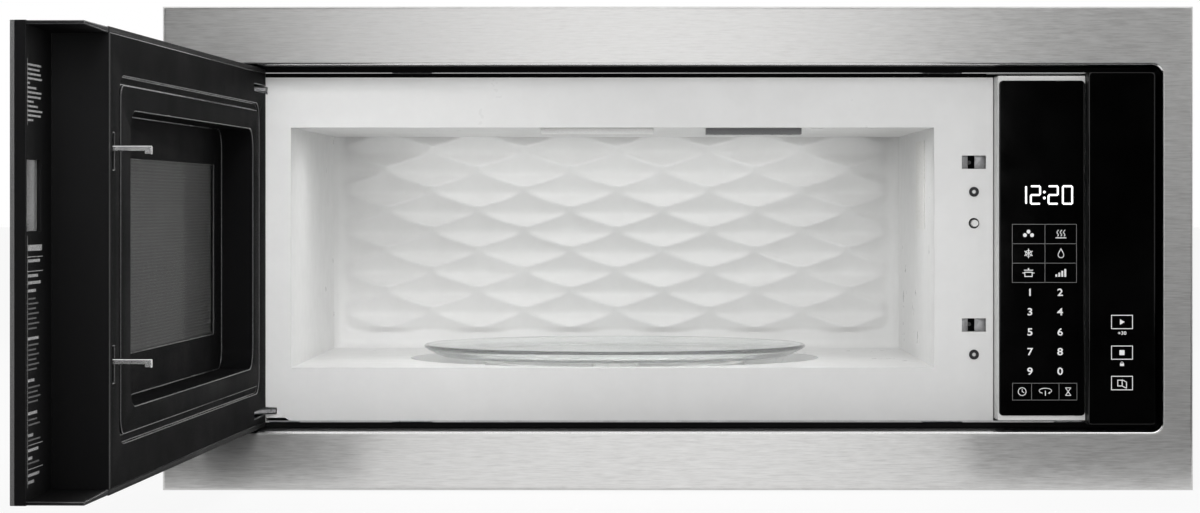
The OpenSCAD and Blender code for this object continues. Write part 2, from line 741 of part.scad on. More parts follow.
// Ring that keeps the three rollers apart, each on its own axle stub
module roller_ring() color("whitesmoke") translate([cavity_x, tray_y, roller_z]) {
    difference() {
        translate([0, 0, -2]) cylinder(r = roller_track_r - 8, h = 4, $fn = 96);
        translate([0, 0, -3]) cylinder(r = roller_track_r - 18, h = 6, $fn = 96);
    }
    for (turn = roller_turns) rotate(turn) {
        translate([roller_track_r - 9, 0, 0]) rotate([0, 90, 0])
            cylinder(r = axle_r, h = 9 + roller_w / 2 + 1.2);
        translate([roller_track_r + roller_w / 2 + 0.4, 0, 0]) rotate([0, 90, 0])
            cylinder(r = axle_r + 1, h = 1.6);
    }
}

module roller(turn) color("gainsboro") translate([cavity_x, tray_y, roller_z]) rotate(turn)
    translate([roller_track_r - roller_w / 2, 0, 0]) rotate([0, 90, 0]) difference() {
        cylinder(r = roller_r, h = roller_w);
        translate([0, 0, -1]) cylinder(r = axle_r + pin_gap, h = roller_w + 2);
    }
module roller_front() roller(roller_turns[0]);
module roller_right() roller(roller_turns[1]);
module roller_left() roller(roller_turns[2]);

// Component bay, to the right of the cavity

// Magnetron lying with its antenna towards the cavity: yoke, fins, anode, antenna and filter box
module magnetron() color("silver") {
    left = guide_right + seat_gap / 3;
    translate([left, magnetron_y, magnetron_z]) {
        difference() {
            block([0, -magnetron_d, -magnetron_h], [yoke_w, magnetron_d, magnetron_h]);
            block([yoke_t, -magnetron_d - 1, -magnetron_h + yoke_t],
                  [yoke_w - yoke_t, magnetron_d + 1, magnetron_h - yoke_t]);
        }
        for (i = [0 : 5]) translate([16 + 10 * i, 0, 0])
            block([0, -magnetron_d + 4, -magnetron_h + 1.5], [0.8, magnetron_d - 4, magnetron_h - 1.5]);
        rotate([0, 90, 0]) cylinder(r = 19, h = yoke_w);
        translate([-22, 0, 0]) rotate([0, 90, 0]) cylinder(r = 7.5, h = 30);
        block([yoke_w - 0.1, -25, -20], [magnetron_w, 25, 20]);
    }
}

module waveguide() color("silver") translate([bay_left, magnetron_y, magnetron_z]) difference() {
    half_d = magnetron_d + 4;
    half_h = magnetron_h - 2;
    depth = guide_right - bay_left;
    union() {
        block([0, -half_d, -half_h], [depth, half_d, half_h]);
        block([0, -half_d - 6, -half_h - 2], [sheet, half_d + 6, half_h + 2]);
    }
    block([-1, -half_d + sheet, -half_h + sheet], [depth - sheet, half_d - sheet, half_h - sheet]);
    translate([depth - 5, 0, 0]) rotate([0, 90, 0]) cylinder(r = 9, h = 10);
}

// Laminated core with its wound coils and foot plate
module power_transformer() color("dimgray") translate([fan_x, core_y, -case_top + sheet]) {
    core_d = 28;
    difference() {
        block([-46, -core_d, 2], [46, core_d, 74]);
        for (side = [-1, 1]) translate([side * 24, 0, 38])
            block([-9, -core_d - 1, -22], [9, core_d + 1, 22]);
    }
    block([-34, -core_d - 16, 17], [34, core_d + 16, 59]);
    block([-56, -core_d, 0.1], [56, core_d, 2.1]);
}

module hv_capacitor() color("silver") translate([capacitor_x, capacitor_y, -case_top + sheet]) {
    can_r = 17;
    block([-can_r, -16, 0.1], [can_r, 16, capacitor_h]);
    for (side = [-1, 1]) translate([0, side * 16, 0.1]) cylinder(r = can_r, h = capacitor_h - 0.1);
    for (side = [-1, 1]) translate([0, side * 14, capacitor_h - e]) cylinder(r = 5, h = 8);
}

module fan_housing() color([0.15, 0.15, 0.15]) translate([fan_x, 0, fan_z]) {
    difference() {
        upright(fan_y, fan_depth) square(fan_frame, center = true);
        rod_y(0, 0, fan_r + 3, fan_y - 1, fan_depth + 2, 96);
        for (sx = [-1, 1], sz = [-1, 1]) rod_y(sx * 53, sz * 53, 2.2, fan_y - 1, fan_depth + 2);
    }
    // arms that carry the motor
    difference() {
        union() {
            for (turn = [45 : 90 : 315]) rotate([0, turn, 0])
                block([12, fan_y, -2.5], [fan_r + 5, fan_y + 3, 2.5]);
            rod_y(0, 0, fan_motor_r, fan_y, 3);
        }
        rod_y(0, 0, 7, fan_y - 1, 6);
    }
}

module fan_motor() color("slategray") translate([fan_x, 0, fan_z]) difference() {
    union() {
        rod_y(0, 0, fan_motor_r, fan_y - fan_motor_d, fan_motor_d - seat_gap / 3);
        rod_y(0, 0, 6, fan_y - fan_motor_d, fan_motor_d + 2);
        block([-fan_motor_r - 6, fan_y - 18, -10], [fan_motor_r + 6, fan_y - 8, 10]);
    }
    rod_y(0, 0, shaft_r + pin_gap, fan_y - 20, 30);
}

// Hub, seven pitched blades and the shaft that runs in the motor
module fan_blade() color("lightgray") translate([fan_x, 0, fan_z]) {
    rod_y(0, 0, 17, fan_y + 5, 16);
    rod_y(0, 0, shaft_r, fan_y - 19, 25);
    for (i = [0 : 6]) rotate([0, i * 360 / 7, 0]) translate([15, fan_y + 13, 0])
        rotate([38, 0, 0]) block([0, -1, -11], [fan_r - 15 - 1, 1, 11]);
}

module air_duct() color([0.12, 0.12, 0.12]) difference() {
    duct_left = guide_right + 4.4;
    duct_right = duct_left + yoke_w - 2;
    duct_h = magnetron_h + 1;
    block([duct_left, magnetron_y + magnetron_d + seat_gap, magnetron_z - duct_h],
          [duct_right, fan_y - seat_gap, magnetron_z + duct_h]);
    block([duct_left + duct_t, magnetron_y + magnetron_d - 8, magnetron_z - duct_h + duct_t],
          [duct_right - duct_t, fan_y + 1, magnetron_z + duct_h - duct_t]);
}

// Filter board on posts against the case side, with its choke and capacitors
module noise_filter_board() color("darkgreen") translate([case_w / 2 - sheet, filter_y, filter_z]) {
    half_d = 55;
    half_h = 42;
    block([-7.6, -half_d, -half_h], [-6, half_d, half_h]);
    for (y = [-1, 1] * (half_d - 7), z = [-1, 1] * (half_h - 7))
        translate([-6 - e, y, z]) rotate([0, 90, 0]) cylinder(r = 3, h = 6 - seat_gap / 3);
    translate([-16.5, -22, 14]) rotate([0, 90, 0]) rotate_extrude() translate([13, 0])
        square([9, 9]);
    translate([-21, -38, -30]) cube([13.5, 30, 16]);
    translate([-19, 14, -32]) cube([11.5, 26, 20]);
    translate([-20, 26, 20]) rotate([0, 90, 0]) cylinder(r = 9, h = 12.5);
}

module thermal_cutouts() color("whitesmoke") {
    translate([cavity_x + 144.5, tray_y + 1.5, cavity_top + sheet + 0.1]) thermal_cutout();
    translate([cavity_x - 151.5, cavity_back_y - 51, cavity_top + sheet + 0.1]) thermal_cutout();
}

module thermal_cutout() {
    block([-13, -4, 0], [13, 4, 0.8]);
    cylinder(r = 8, h = 7);
    for (side = [-1, 1]) block([side * 4 - 1, -3, 6], [side * 4 + 1, 3, 15]);
}

// Controls

// White shell behind the keypad, open at the back, with a window for the clock
module control_housing() color("white") difference() {
    union() {
        difference() {
            block([housing_left, keypad_y + panel_glass_t, -housing_h / 2],
                  [housing_right, housing_back, housing_h / 2]);
            block([housing_left + housing_wall, keypad_y + panel_glass_t + housing_wall,
                   -housing_h / 2 + housing_wall],
                  [housing_right - housing_wall, housing_back + 1, housing_h / 2 - housing_wall]);
        }
        for (x = [housing_left + 8, housing_right - 8], z = [-1, 1] * (board_h / 2 - 7))
            rod_y(x, z, 3, keypad_y + panel_glass_t + 1, board_y - keypad_y - panel_glass_t - 1.1);
    }
    block([clock_x - clock_w / 2 - 0.3, keypad_y, clock_z - clock_h / 2 - 0.3],
          [clock_x + clock_w / 2 + 0.3, keypad_y + 9, clock_z + clock_h / 2 + 0.3]);
    for (z = [hook_upper_z, hook_lower_z])
        block([housing_left - 1, keypad_y, z - 4.5], [housing_left + 1.4, keypad_y + 5, z + 4.5]);
}

module keypad_panel() color("black") translate([keypad_x, 0, 0])
    upright(keypad_y, panel_glass_t - 0.1) rounded(keypad_w, keypad_h, 3);

module clock_display() color([0.2, 0.2, 0.2])
    block([clock_x - clock_w / 2, keypad_y + panel_glass_t + 0.1, clock_z - clock_h / 2],
          [clock_x + clock_w / 2, board_y - 0.1, clock_z + clock_h / 2]);

module control_board() color("darkgreen") {
    block([housing_left + 4, board_y, -board_h / 2],
          [housing_right - 4, board_y + 1.6, board_h / 2]);
    for (z = [-88 : 26 : 68]) translate([housing_left + 12, board_y + 1.5, z]) cube([16, 14, 20]);
    translate([housing_right - 30, board_y + 1.5, -60]) cube([22, 3, 22]);
    translate([housing_right - 26, board_y + 1.5, 20]) cube([12, 9, 34]);
}

module side_panel_housing() color([0.04, 0.04, 0.04]) difference() {
    block([side_left, door_front + door_glass_t + 0.1, -side_h / 2],
          [side_right, case_front_y - seat_gap, side_h / 2]);
    block([side_left + 2, door_front + door_glass_t + 2, -side_h / 2 + 2],
          [side_right - 2, case_front_y + 1, side_h / 2 - 2]);
}

module side_touch_panel() color("black") translate([side_x, 0, 0])
    upright(door_front, door_glass_t) rounded(side_panel_w, side_h, 1.5);

// Latch side of the body

// Tall pocket behind the latch slots: walls, a catch ledge under each slot and two screw bosses
module latch_bracket() color([0.9, 0.9, 0.9]) difference() {
    union() {
        difference() {
            block([bracket_left, cavity_front_y + 0.1, pocket_low],
                  [bracket_right, latch_back, pocket_high]);
            block([bracket_left + 2, plate_y, pocket_low + 2],
                  [bracket_right - 2, latch_back - 2, pocket_high - 2]);
        }
        for (z = [hook_upper_z, hook_lower_z])
            block([bracket_left + 1, cavity_front_y + 0.1, z - slot_h / 2 - 2],
                  [bracket_right - 1, cavity_front_y + 12, z - slot_h / 2]);
        for (z = plate_screw_z)
            rod_y(slot_x, z, 4.5, cavity_front_y + 0.1, latch_back - cavity_front_y - 1);
    }
    for (z = plate_screw_z) rod_y(slot_x, z, screw_r - 0.1, plate_y, 14);
}

// Three switches against the back of the pocket; the two behind the hooks have a plunger bore
module interlock_switches() color("black") difference() {
    for (z = [hook_upper_z, hook_lower_z, -20])
        block([bracket_left + 4, switch_y, z - 10], [bracket_right - 3, latch_back - 2.1, z + 10]);
    for (z = [hook_upper_z, hook_lower_z])
        rod_y(hook_x, z, plunger_r + pin_gap, switch_y - 1, plunger_bore + 1);
}

// Standing out where the hooks' tips press them in as the door shuts
module switch_plungers() color("red") for (z = [hook_upper_z, hook_lower_z])
    rod_y(hook_x, z, plunger_r, plunger_y, switch_y + plunger_bore - plunger_travel - 0.5 - plunger_y);

// Spring unit that carries the opener pin
module door_opener_motor() color("dimgray") difference() {
    union() {
        rod_y(slot_x, opener_z, 9, opener_body_y, latch_back - 2.1 - opener_body_y);
        block([bracket_left + 2.1, opener_body_y + 3, opener_z - 9],
              [bracket_right - 2.1, opener_body_y + 6, opener_z + 9]);
    }
    rod_y(slot_x, opener_z, opener_r + pin_gap, opener_body_y - 1, opener_bore + 1);
}

// Sprung pin, out as it stands while the door is open
module door_opener_pin() color("white") {
    rod_y(slot_x, opener_z, opener_r, pin_front_y, opener_body_y + 10 - opener_travel - pin_front_y);
    rod_y(slot_x, opener_z, collar_r, collar_y, collar_t);
}

// Hinges

// The ear seen from above: an eye around the pin and an arm back through its slot
module ear_outline(right) difference() {
    union() {
        translate([pivot_x, pivot_y]) circle(r = pin_r + 3);
        polygon([[pivot_x - 3, pivot_y + 4.5], [pivot_x + 3, pivot_y - 4.5],
                 [right - 0.6, plate_y - 3], [right - 0.6, pocket_y + sheet + 1],
                 [pocket_right - 5.4, pocket_y + sheet + 1], [pocket_right - 5.4, plate_y - 2]]);
    }
    translate([pivot_x, pivot_y]) circle(r = pin_r);
}

// One hinge bracket: the ear and the foot plate that is fixed behind the front plate
module hinge_bracket(i) color("silver") {
    translate([0, 0, ear_z[i] - ear_t / 2]) linear_extrude(ear_t) ear_outline(hinge_slot_right[i]);
    inward = i == 0 ? -1 : 1;
    translate([0, 0, ear_z[i]]) block(
        [plate_left + 4, pocket_y + sheet + 0.1, min(-ear_t / 2, inward * 30)],
        [hinge_slot_right[i] - 0.6, pocket_y + sheet + 2.1, max(ear_t / 2, inward * 30)]);
}
module upper_hinge() hinge_bracket(0);
module lower_hinge() hinge_bracket(1);

module hinge_pins() color("lightgray") for (z = ear_z)
    translate([pivot_x, pivot_y, z - pin_half]) cylinder(r = pin_r, h = 2 * pin_half);

// Door, drawn shut and then turned open

// Space that the two ears sweep through at the hinge end of the door
module ear_slots() for (z = ear_z) {
    block([door_left - 1, pivot_y - ear_room, z - ear_slot_h / 2],
          [pivot_x + 33, door_back + 1, z + ear_slot_h / 2]);
}

module door_case() color([0.05, 0.05, 0.05]) door_open() difference() {
    union() {
        difference() {
            // box with its rolled hinge edge
            linear_extrude(door_h, center = true) {
                translate([glass_left, case_y]) square([box_right - glass_left, door_back - case_y]);
                translate([door_left, door_front + roll_r])
                    square([roll_r + 1, door_back - door_front - roll_r]);
                intersection() {
                    translate([glass_left, door_front + roll_r]) circle(r = roll_r, $fn = 64);
                    translate([door_left, door_front]) square(roll_r);
                }
            }
            // room for the metal pan and the choke cover
            block([glass_left + door_wall, case_y + front_wall, -door_h / 2 + door_wall],
                  [box_right - door_wall, door_back + 1, door_h / 2 - door_wall]);
            block([door_left + door_wall, door_front + roll_r, -door_h / 2 + door_wall],
                  [glass_left + door_wall + 1, door_back + 1, door_h / 2 - door_wall]);
            // front wall is open behind the glass window
            block([well_x - screen_w / 2, case_y - 1, -screen_h / 2],
                  [well_x + screen_w / 2, case_y + front_wall + 1, screen_h / 2]);
        }
        // blocks that hold the hinge pins
        for (z = ear_z) block([door_left + door_wall, door_front + 5, max(z - 12, -door_h / 2 + 1)],
                              [hinge_block_right, pivot_y + 9, min(z + 12, door_h / 2 - 1)]);
        // thin flange over the keypad
        block([box_right - 1, case_y, -door_h / 2], [door_right, flange_back, door_h / 2]);
    }
    block([window_x - window_w / 2, case_y - 1, window_z - window_h / 2],
          [window_x + window_w / 2, flange_back + 1, window_z + window_h / 2]);
    ear_slots();
    for (z = ear_z) translate([pivot_x, pivot_y, z - pin_half - 0.5])
        cylinder(r = pin_r + pin_gap, h = 2 * pin_half + 1);
}

module door_glass() color([0.02, 0.02, 0.02]) door_open() difference() {
    block([glass_left + glass_gap, door_front, -door_h / 2],
          [door_right, case_y - glass_gap, door_h / 2]);
    block([window_x - window_w / 2, door_front - 1, window_z - window_h / 2],
          [window_x + window_w / 2, case_y + 1, window_z + window_h / 2]);
}

module clock_window() color([0.5, 0.5, 0.5, 0.4]) door_open()
    block([window_x - window_w / 2 + glass_gap, door_front, window_z - window_h / 2 + glass_gap],
          [window_x + window_w / 2 - glass_gap, case_y - glass_gap, window_z + window_h / 2 - glass_gap]);

// Steel pan inside the case: a plate with the screen opening and a rim that makes the choke
module door_pan() color("dimgray") door_open() difference() {
    union() {
        difference() {
            block([pan_left, pan_y, -pan_h / 2], [pan_right, door_back - cover_t - choke_gap, pan_h / 2]);
            block([pan_left + sheet, pan_y + pan_t, -pan_h / 2 + sheet],
                  [pan_right - sheet, door_back, pan_h / 2 - sheet]);
        }
        block([hook_x - lever_w / 2, pan_y + 1, spring_low - 6],
              [hook_x + lever_w / 2, pan_y + 9, spring_low - 0.1]);
    }
    block([well_x - screen_w / 2, pan_y - 1, -screen_h / 2],
          [well_x + screen_w / 2, pan_y + 3, screen_h / 2]);
    ear_slots();
}

module door_screen() color("gray") door_open() translate([well_x, 0, 0])
    upright(pan_y + pan_t + glass_gap, screen_t)
        square([screen_w + 2 * screen_border, screen_h + 2 * screen_border], center = true);

module inner_window() color([0.7, 0.7, 0.7, 0.3]) door_open() translate([well_x, 0, 0])
    upright(pan_y + pan_t + screen_t + 2 * glass_gap, window_t)
        square([screen_w + 2 * screen_border, screen_h + 2 * screen_border], center = true);

// Inner face: plate with a groove ring, the deep well and the hook slots
module choke_cover() color([0.06, 0.06, 0.06]) door_open() difference() {
    union() {
        block([door_left + door_wall + 0.1, door_back - cover_t, -door_h / 2 + door_wall + 0.1],
              [box_right - door_wall - 0.1, door_back, door_h / 2 - door_wall - 0.1]);
        translate([well_x, 0, 0]) upright(well_floor_y, door_back - well_floor_y - 1)
            rounded(well_w + 4, well_h + 4, well_r + 2);
    }
    translate([well_x, 0, 0]) upright(well_floor_y + well_t, door_t) rounded(well_w, well_h, well_r);
    translate([well_x, 0, 0]) upright(well_floor_y - 1, 4) square([screen_w, screen_h], center = true);
    // groove ring around the well
    translate([groove_x, 0, 0]) upright(door_back - groove_depth, groove_depth + 1) difference() {
        rounded(groove_w, groove_h, groove_r);
        rounded(groove_w - 2 * groove_t, groove_h - 2 * groove_t, groove_r - groove_t);
    }
    for (z = [hook_upper_z, hook_lower_z])
        block([hook_x - cover_slot_w / 2, door_back - 5, z - cover_slot_bottom],
              [hook_x + cover_slot_w / 2, door_back + 1, z + cover_slot_top]);
    ear_slots();
}

// Bar with two barbed hooks that stand out of the inner face
module latch_lever() color("silver") door_open() {
    block([hook_x - lever_w / 2, lever_y, lever_low],
          [hook_x + lever_w / 2, lever_y + lever_t, hook_upper_z + 8]);
    for (z = [hook_upper_z, hook_lower_z]) {
        block([hook_x - hook_w / 2, lever_y + lever_t - 0.1, z - hook_h / 2],
              [hook_x + hook_w / 2, door_back + hook_reach, z + hook_h / 2]);
        block([hook_x - hook_w / 2, door_back + hook_reach - 4, z - hook_h / 2 - barb_h],
              [hook_x + hook_w / 2, door_back + hook_reach, z]);
    }
}

// Draw spring under the lever, as a sleeve of its outer size
module latch_spring() color("gray") door_open()
    translate([hook_x, lever_y + spring_r, spring_low]) difference() {
        length = lever_low - 0.1 - spring_low;
        cylinder(r = spring_r, h = length);
        translate([0, 0, -1]) cylinder(r = spring_r - 0.8, h = length + 2);
    }

trim_frame();
trim_backing_frame();
trim_clips();
mounting_brackets();
surround_bezel();
outer_cover();
base_plate();
base_feet();
back_panel();
cord_gland();
case_screws();
front_plate();
front_plate_screws();
cavity_shell();
cavity_back_panel();
waveguide_cover();
sensor_vent_cover();
lamp_cover();
oven_lamp();
turntable_motor();
motor_shaft();
drive_coupler();
glass_tray();
roller_ring();
roller_front();
roller_left();
roller_right();
magnetron();
waveguide();
power_transformer();
hv_capacitor();
fan_housing();
fan_motor();
fan_blade();
air_duct();
noise_filter_board();
thermal_cutouts();
control_housing();
keypad_panel();
clock_display();
control_board();
side_panel_housing();
side_touch_panel();
latch_bracket();
interlock_switches();
switch_plungers();
door_opener_motor();
door_opener_pin();
upper_hinge();
lower_hinge();
hinge_pins();
door_case();
door_glass();
clock_window();
door_pan();
door_screen();
choke_cover();
inner_window();
latch_lever();
latch_spring();
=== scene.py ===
# The camera stands in front of the oven, a little left of its middle, with a long lens as in the
# photograph, and its view is shifted so that the open door at the left fits in.
import bpy
import bmesh
import math
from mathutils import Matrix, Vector


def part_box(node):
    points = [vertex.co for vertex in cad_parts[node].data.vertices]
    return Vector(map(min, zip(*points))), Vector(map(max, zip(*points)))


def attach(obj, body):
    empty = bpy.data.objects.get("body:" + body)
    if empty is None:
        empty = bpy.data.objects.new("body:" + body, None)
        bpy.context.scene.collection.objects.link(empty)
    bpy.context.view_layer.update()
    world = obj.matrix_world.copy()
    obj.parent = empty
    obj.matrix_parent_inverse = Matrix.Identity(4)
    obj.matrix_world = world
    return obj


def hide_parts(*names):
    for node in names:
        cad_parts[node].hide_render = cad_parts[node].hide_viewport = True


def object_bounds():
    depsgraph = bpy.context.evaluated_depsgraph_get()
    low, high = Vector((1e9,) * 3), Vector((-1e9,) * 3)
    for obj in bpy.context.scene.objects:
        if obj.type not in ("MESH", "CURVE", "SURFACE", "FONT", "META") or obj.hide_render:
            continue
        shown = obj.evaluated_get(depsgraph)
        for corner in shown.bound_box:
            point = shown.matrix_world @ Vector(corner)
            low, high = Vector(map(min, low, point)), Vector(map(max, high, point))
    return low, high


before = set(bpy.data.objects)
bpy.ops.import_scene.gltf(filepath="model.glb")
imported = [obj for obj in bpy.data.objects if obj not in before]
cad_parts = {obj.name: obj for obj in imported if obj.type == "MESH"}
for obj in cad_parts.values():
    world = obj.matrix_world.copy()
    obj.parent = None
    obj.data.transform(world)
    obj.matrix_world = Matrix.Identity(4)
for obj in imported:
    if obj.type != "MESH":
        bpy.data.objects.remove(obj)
cad_box = [list(corner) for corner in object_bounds()]

upright = (math.radians(90), 0, 0)  # turns what is made on the floor to face the room
bpy.ops.object.camera_add(location=(-0.0235, -2.424, 0.0311), rotation=upright)
camera = bpy.context.object
camera.name = "photo_camera"
camera.data.lens, camera.data.sensor_width, camera.data.clip_start = 98.1, 36, 0.05
camera.data.shift_x, camera.data.shift_y = -0.0383, -0.042
bpy.context.scene.camera = camera
bpy.context.scene.view_settings.view_transform = "Standard"


# Studio: a pale floor just under the trim, a white surround that the camera, gloss and glass see,
# and soft boxes over, beside and before the oven. Black cards behind the camera and on the floor,
# seen only by gloss, keep the black glass and the screws dark, as photographers do.
def fresh(name, **plain):
    """A material with a node tree that holds a Principled shader with these plain values."""
    made = bpy.data.materials.new(name)
    made.use_nodes = True
    shader = made.node_tree.nodes["Principled BSDF"]
    for key, value in plain.items():
        shader.inputs[key.replace("_", " ")].default_value = value
    return made, made.node_tree, shader


def node(tree, kind, **settings):
    """A node of that kind, with its settings and the values of its inputs."""
    made = tree.nodes.new(kind)
    for key, value in settings.items():
        if hasattr(made, key):
            setattr(made, key, value)
        else:
            made.inputs[key.replace("_", " ")].default_value = value
    return made


def calc(tree, operation, *values):
    """The result of a math node on these numbers and outputs."""
    made = node(tree, "ShaderNodeMath", operation=operation)
    for value, socket in zip(values, made.inputs):
        if isinstance(value, (int, float)):
            socket.default_value = value
        else:
            tree.links.new(value, socket)
    return made.outputs[0]


def watched(tree):
    """1 for a ray from the camera, from gloss or through glass, and 0 for a ray of plain light."""
    path = node(tree, "ShaderNodeLightPath").outputs
    seen = calc(tree, "MAXIMUM", path["Is Camera Ray"], path["Is Glossy Ray"])
    return calc(tree, "MAXIMUM", seen, path["Is Transmission Ray"])


def blend(tree, share, first, second, surface):
    """Blends two shaders into the surface, by the share of the second."""
    made = node(tree, "ShaderNodeMixShader")
    for source, socket in zip((share, first.outputs[0], second.outputs[0]), made.inputs):
        tree.links.new(source, socket)
    tree.links.new(made.outputs[0], surface)


def apply_place():
    """Applies the selected object's place, turn and size to its mesh."""
    bpy.ops.object.transform_apply(location=True, rotation=True, scale=True)


def wear(piece, *materials):
    """Gives an object these materials in place of those that it has."""
    piece.data.materials.clear()
    for material in materials:
        piece.data.materials.append(material)


floor_z, floor_glow = cad_box[0][2] - 0.0005, 0.91
bpy.ops.mesh.primitive_plane_add(size=60, location=(0, 0, floor_z))
floor = bpy.context.object
floor.name = "studio_floor"
floor_finish, tree, shader = fresh("pale_floor", Base_Color=(0.90, 0.90, 0.90, 1), Roughness=0.9,
                                   Specular_IOR_Level=0.1)
glow = node(tree, "ShaderNodeEmission", Color=(1, 1, 1, 1), Strength=1.0)
blend(tree, calc(tree, "MULTIPLY", watched(tree), floor_glow), shader, glow,
      tree.nodes["Material Output"].inputs["Surface"])
wear(floor, floor_finish)

world = bpy.data.worlds.new("studio")
bpy.context.scene.world = world
world.use_nodes = True
tree = world.node_tree
tree.nodes.clear()
room = node(tree, "ShaderNodeBackground", Color=(1, 1, 1, 1), Strength=0.25)
white = node(tree, "ShaderNodeBackground", Color=(1, 1, 1, 1), Strength=1.0)
blend(tree, watched(tree), room, white, node(tree, "ShaderNodeOutputWorld").inputs["Surface"])

# name, place, the point it faces, width, height, power in watts, spread in degrees, whether
# diffuse sees it, whether gloss sees it
soft_boxes = (
    ("front_box", (-0.20, -2.35, 0.45), (0, 0.1, 0), 1.2, 0.8, 24.5, 180, True, False),
    ("right_box", (1.45, -1.9, 0.45), (0, 0.1, 0), 0.9, 1.1, 2.2, 180, True, False),
    ("left_box", (-0.18, -1.25, 0.55), (-0.37, 0.03, 0.01), 0.3, 0.3, 0.19, 25, True, False),
    ("top_box", (0, -0.5, 1.7), (0, 0, 0), 2.2, 1.2, 7, 180, True, True),
    ("rear_box", (0, 2.2, 1.2), (0, 0.2, 0), 2.0, 1.0, 8, 180, True, True),
    ("streak_box", (-0.07, -2.74, 0.1), (-0.07, 0, 0.1), 1.14, 2.6, 18, 180, False, True),
    ("edge_box", (1.12, -2.74, 0.1), (1.12, 0, 0.1), 0.3, 2.6, 6, 180, False, True),
)


def area_light(name, place, turn, width, height, power, shines):
    """A soft light that the camera doesn't see, and gloss only where it shines."""
    bpy.ops.object.light_add(type="AREA", location=place, rotation=turn)
    lamp = bpy.context.object
    lamp.name = name
    lamp.data.shape = "RECTANGLE"
    lamp.data.size, lamp.data.size_y, lamp.data.energy = width, height, power
    lamp.visible_camera, lamp.visible_glossy = False, shines
    return lamp


for name, place, aim, width, height, power, spread_angle, lights, shines in soft_boxes:
    turn = (Vector(aim) - Vector(place)).to_track_quat("-Z", "Y").to_euler()
    lamp = area_light(name, place, turn, width, height, power, shines)
    lamp.data.spread = math.radians(spread_angle)
    lamp.visible_diffuse = lights

card_z, card_y, card_long = floor_z + 0.0002, -1.41, 2.7
card_finish, tree, shader = fresh("black_card_paper", Base_Color=(0.004, 0.004, 0.004, 1),
                                  Roughness=1.0, Specular_IOR_Level=0.0)
for name, place, turn, size in (
        ("black_card", (0, -2.76, 0.1), upright, (5.2, 4.4, 0)),
        ("left_floor_card", (-1.42, card_y, card_z), (0, 0, 0), (2.36, card_long, 0)),
        ("right_floor_card", (1.41, card_y, card_z), (0, 0, 0), (2.38, card_long, 0))):
    bpy.ops.mesh.primitive_plane_add(size=1, location=place, rotation=turn)
    card = bpy.context.object
    card.name = name
    card.dimensions = size
    apply_place()
    wear(card, card_finish)
    card.visible_camera = card.visible_diffuse = False
    card.visible_shadow = card.visible_transmission = False


# Trim frame: one stainless sheet pressed to a picture frame, its outer edges folded back to the
# cabinet and its opening folded back around the oven. It is brushed along its length. The rounded
# fold at the opening is smoother and lighter in colour than the rest: a painted highlight that
# draws the narrow bright line.
def group(name, inputs, outputs):
    """A shader group with float inputs {name: value} and float outputs."""
    tree = bpy.data.node_groups.new(name, "ShaderNodeTree")
    for label, value in inputs.items():
        socket = tree.interface.new_socket(label, in_out="INPUT", socket_type="NodeSocketFloat")
        socket.default_value = value
    for label in outputs:
        tree.interface.new_socket(label, in_out="OUTPUT", socket_type="NodeSocketFloat")
    return tree, node(tree, "NodeGroupInput"), node(tree, "NodeGroupOutput")


def spread(tree, value, source, low=0.0, high=1.0):
    """A value of the source range mapped to low..high."""
    made = node(tree, "ShaderNodeMapRange", From_Min=source[0], From_Max=source[1], To_Min=low,
                To_Max=high)
    tree.links.new(value, made.inputs["Value"])
    return made.outputs[0]


def spot_of(tree, turn=0.0):
    """X, Y and Z of the Object coordinates, turned about the upright axis by some degrees."""
    place = node(tree, "ShaderNodeTexCoord").outputs["Object"]
    if turn:
        turned_place = node(tree, "ShaderNodeMapping", Rotation=(0, 0, math.radians(turn)))
        tree.links.new(place, turned_place.inputs["Vector"])
        place = turned_place.outputs[0]
    apart = node(tree, "ShaderNodeSeparateXYZ")
    tree.links.new(place, apart.inputs[0])
    return apart.outputs


def ramp(tree, factor, *stops):
    """A colour ramp over factor, through (place, grey or colour) stops."""
    made = tree.nodes.new("ShaderNodeValToRGB")
    elements = made.color_ramp.elements
    while len(elements) < len(stops):
        elements.new(0.5)
    for element, (spot, colour) in zip(elements, stops):
        element.position = spot
        element.color = (*(colour if isinstance(colour, tuple) else (colour,) * 3), 1)
    tree.links.new(factor, made.inputs[0])
    return made.outputs[0]


def bump(tree, shader, height, strength, distance):
    """Raises the surface by a height through a Bump node into the shader's Normal."""
    made = node(tree, "ShaderNodeBump", Strength=strength, Distance=distance)
    tree.links.new(height, made.inputs["Height"])
    tree.links.new(made.outputs[0], shader.inputs["Normal"])


def effect(tree, source, *values):
    """Places a shader group in a material with its own values, and gives its outputs."""
    made = tree.nodes.new("ShaderNodeGroup")
    made.node_tree = source
    for value, socket in zip(values, made.inputs):
        socket.default_value = value
    return made.outputs


def finish(name, source, values, colours, base=None, times=1, stops=(0.2, 0.8), relief=None,
           hazy=None, into="Base Color", **plain):
    """A material from one shader group with its values: its shade through colours at these stops,
    its roughness times a number plus a base, haze of that scale in it, an output as relief (name,
    strength, depth), and plain values of the shader."""
    made, tree, shader = fresh(name, **plain)
    drawn = effect(tree, source, *values)
    tree.links.new(ramp(tree, drawn["Shade"], *zip(stops, colours)), shader.inputs[into])
    gloss = drawn["Roughness"]
    if hazy:
        gloss = calc(tree, "ADD", gloss, effect(tree, haze, hazy)["Roughness"])
    if base is not None:
        tree.links.new(calc(tree, "MULTIPLY_ADD", gloss, times, base), shader.inputs["Roughness"])
    if relief:
        bump(tree, shader, drawn[relief[0]], *relief[1:])
    return made


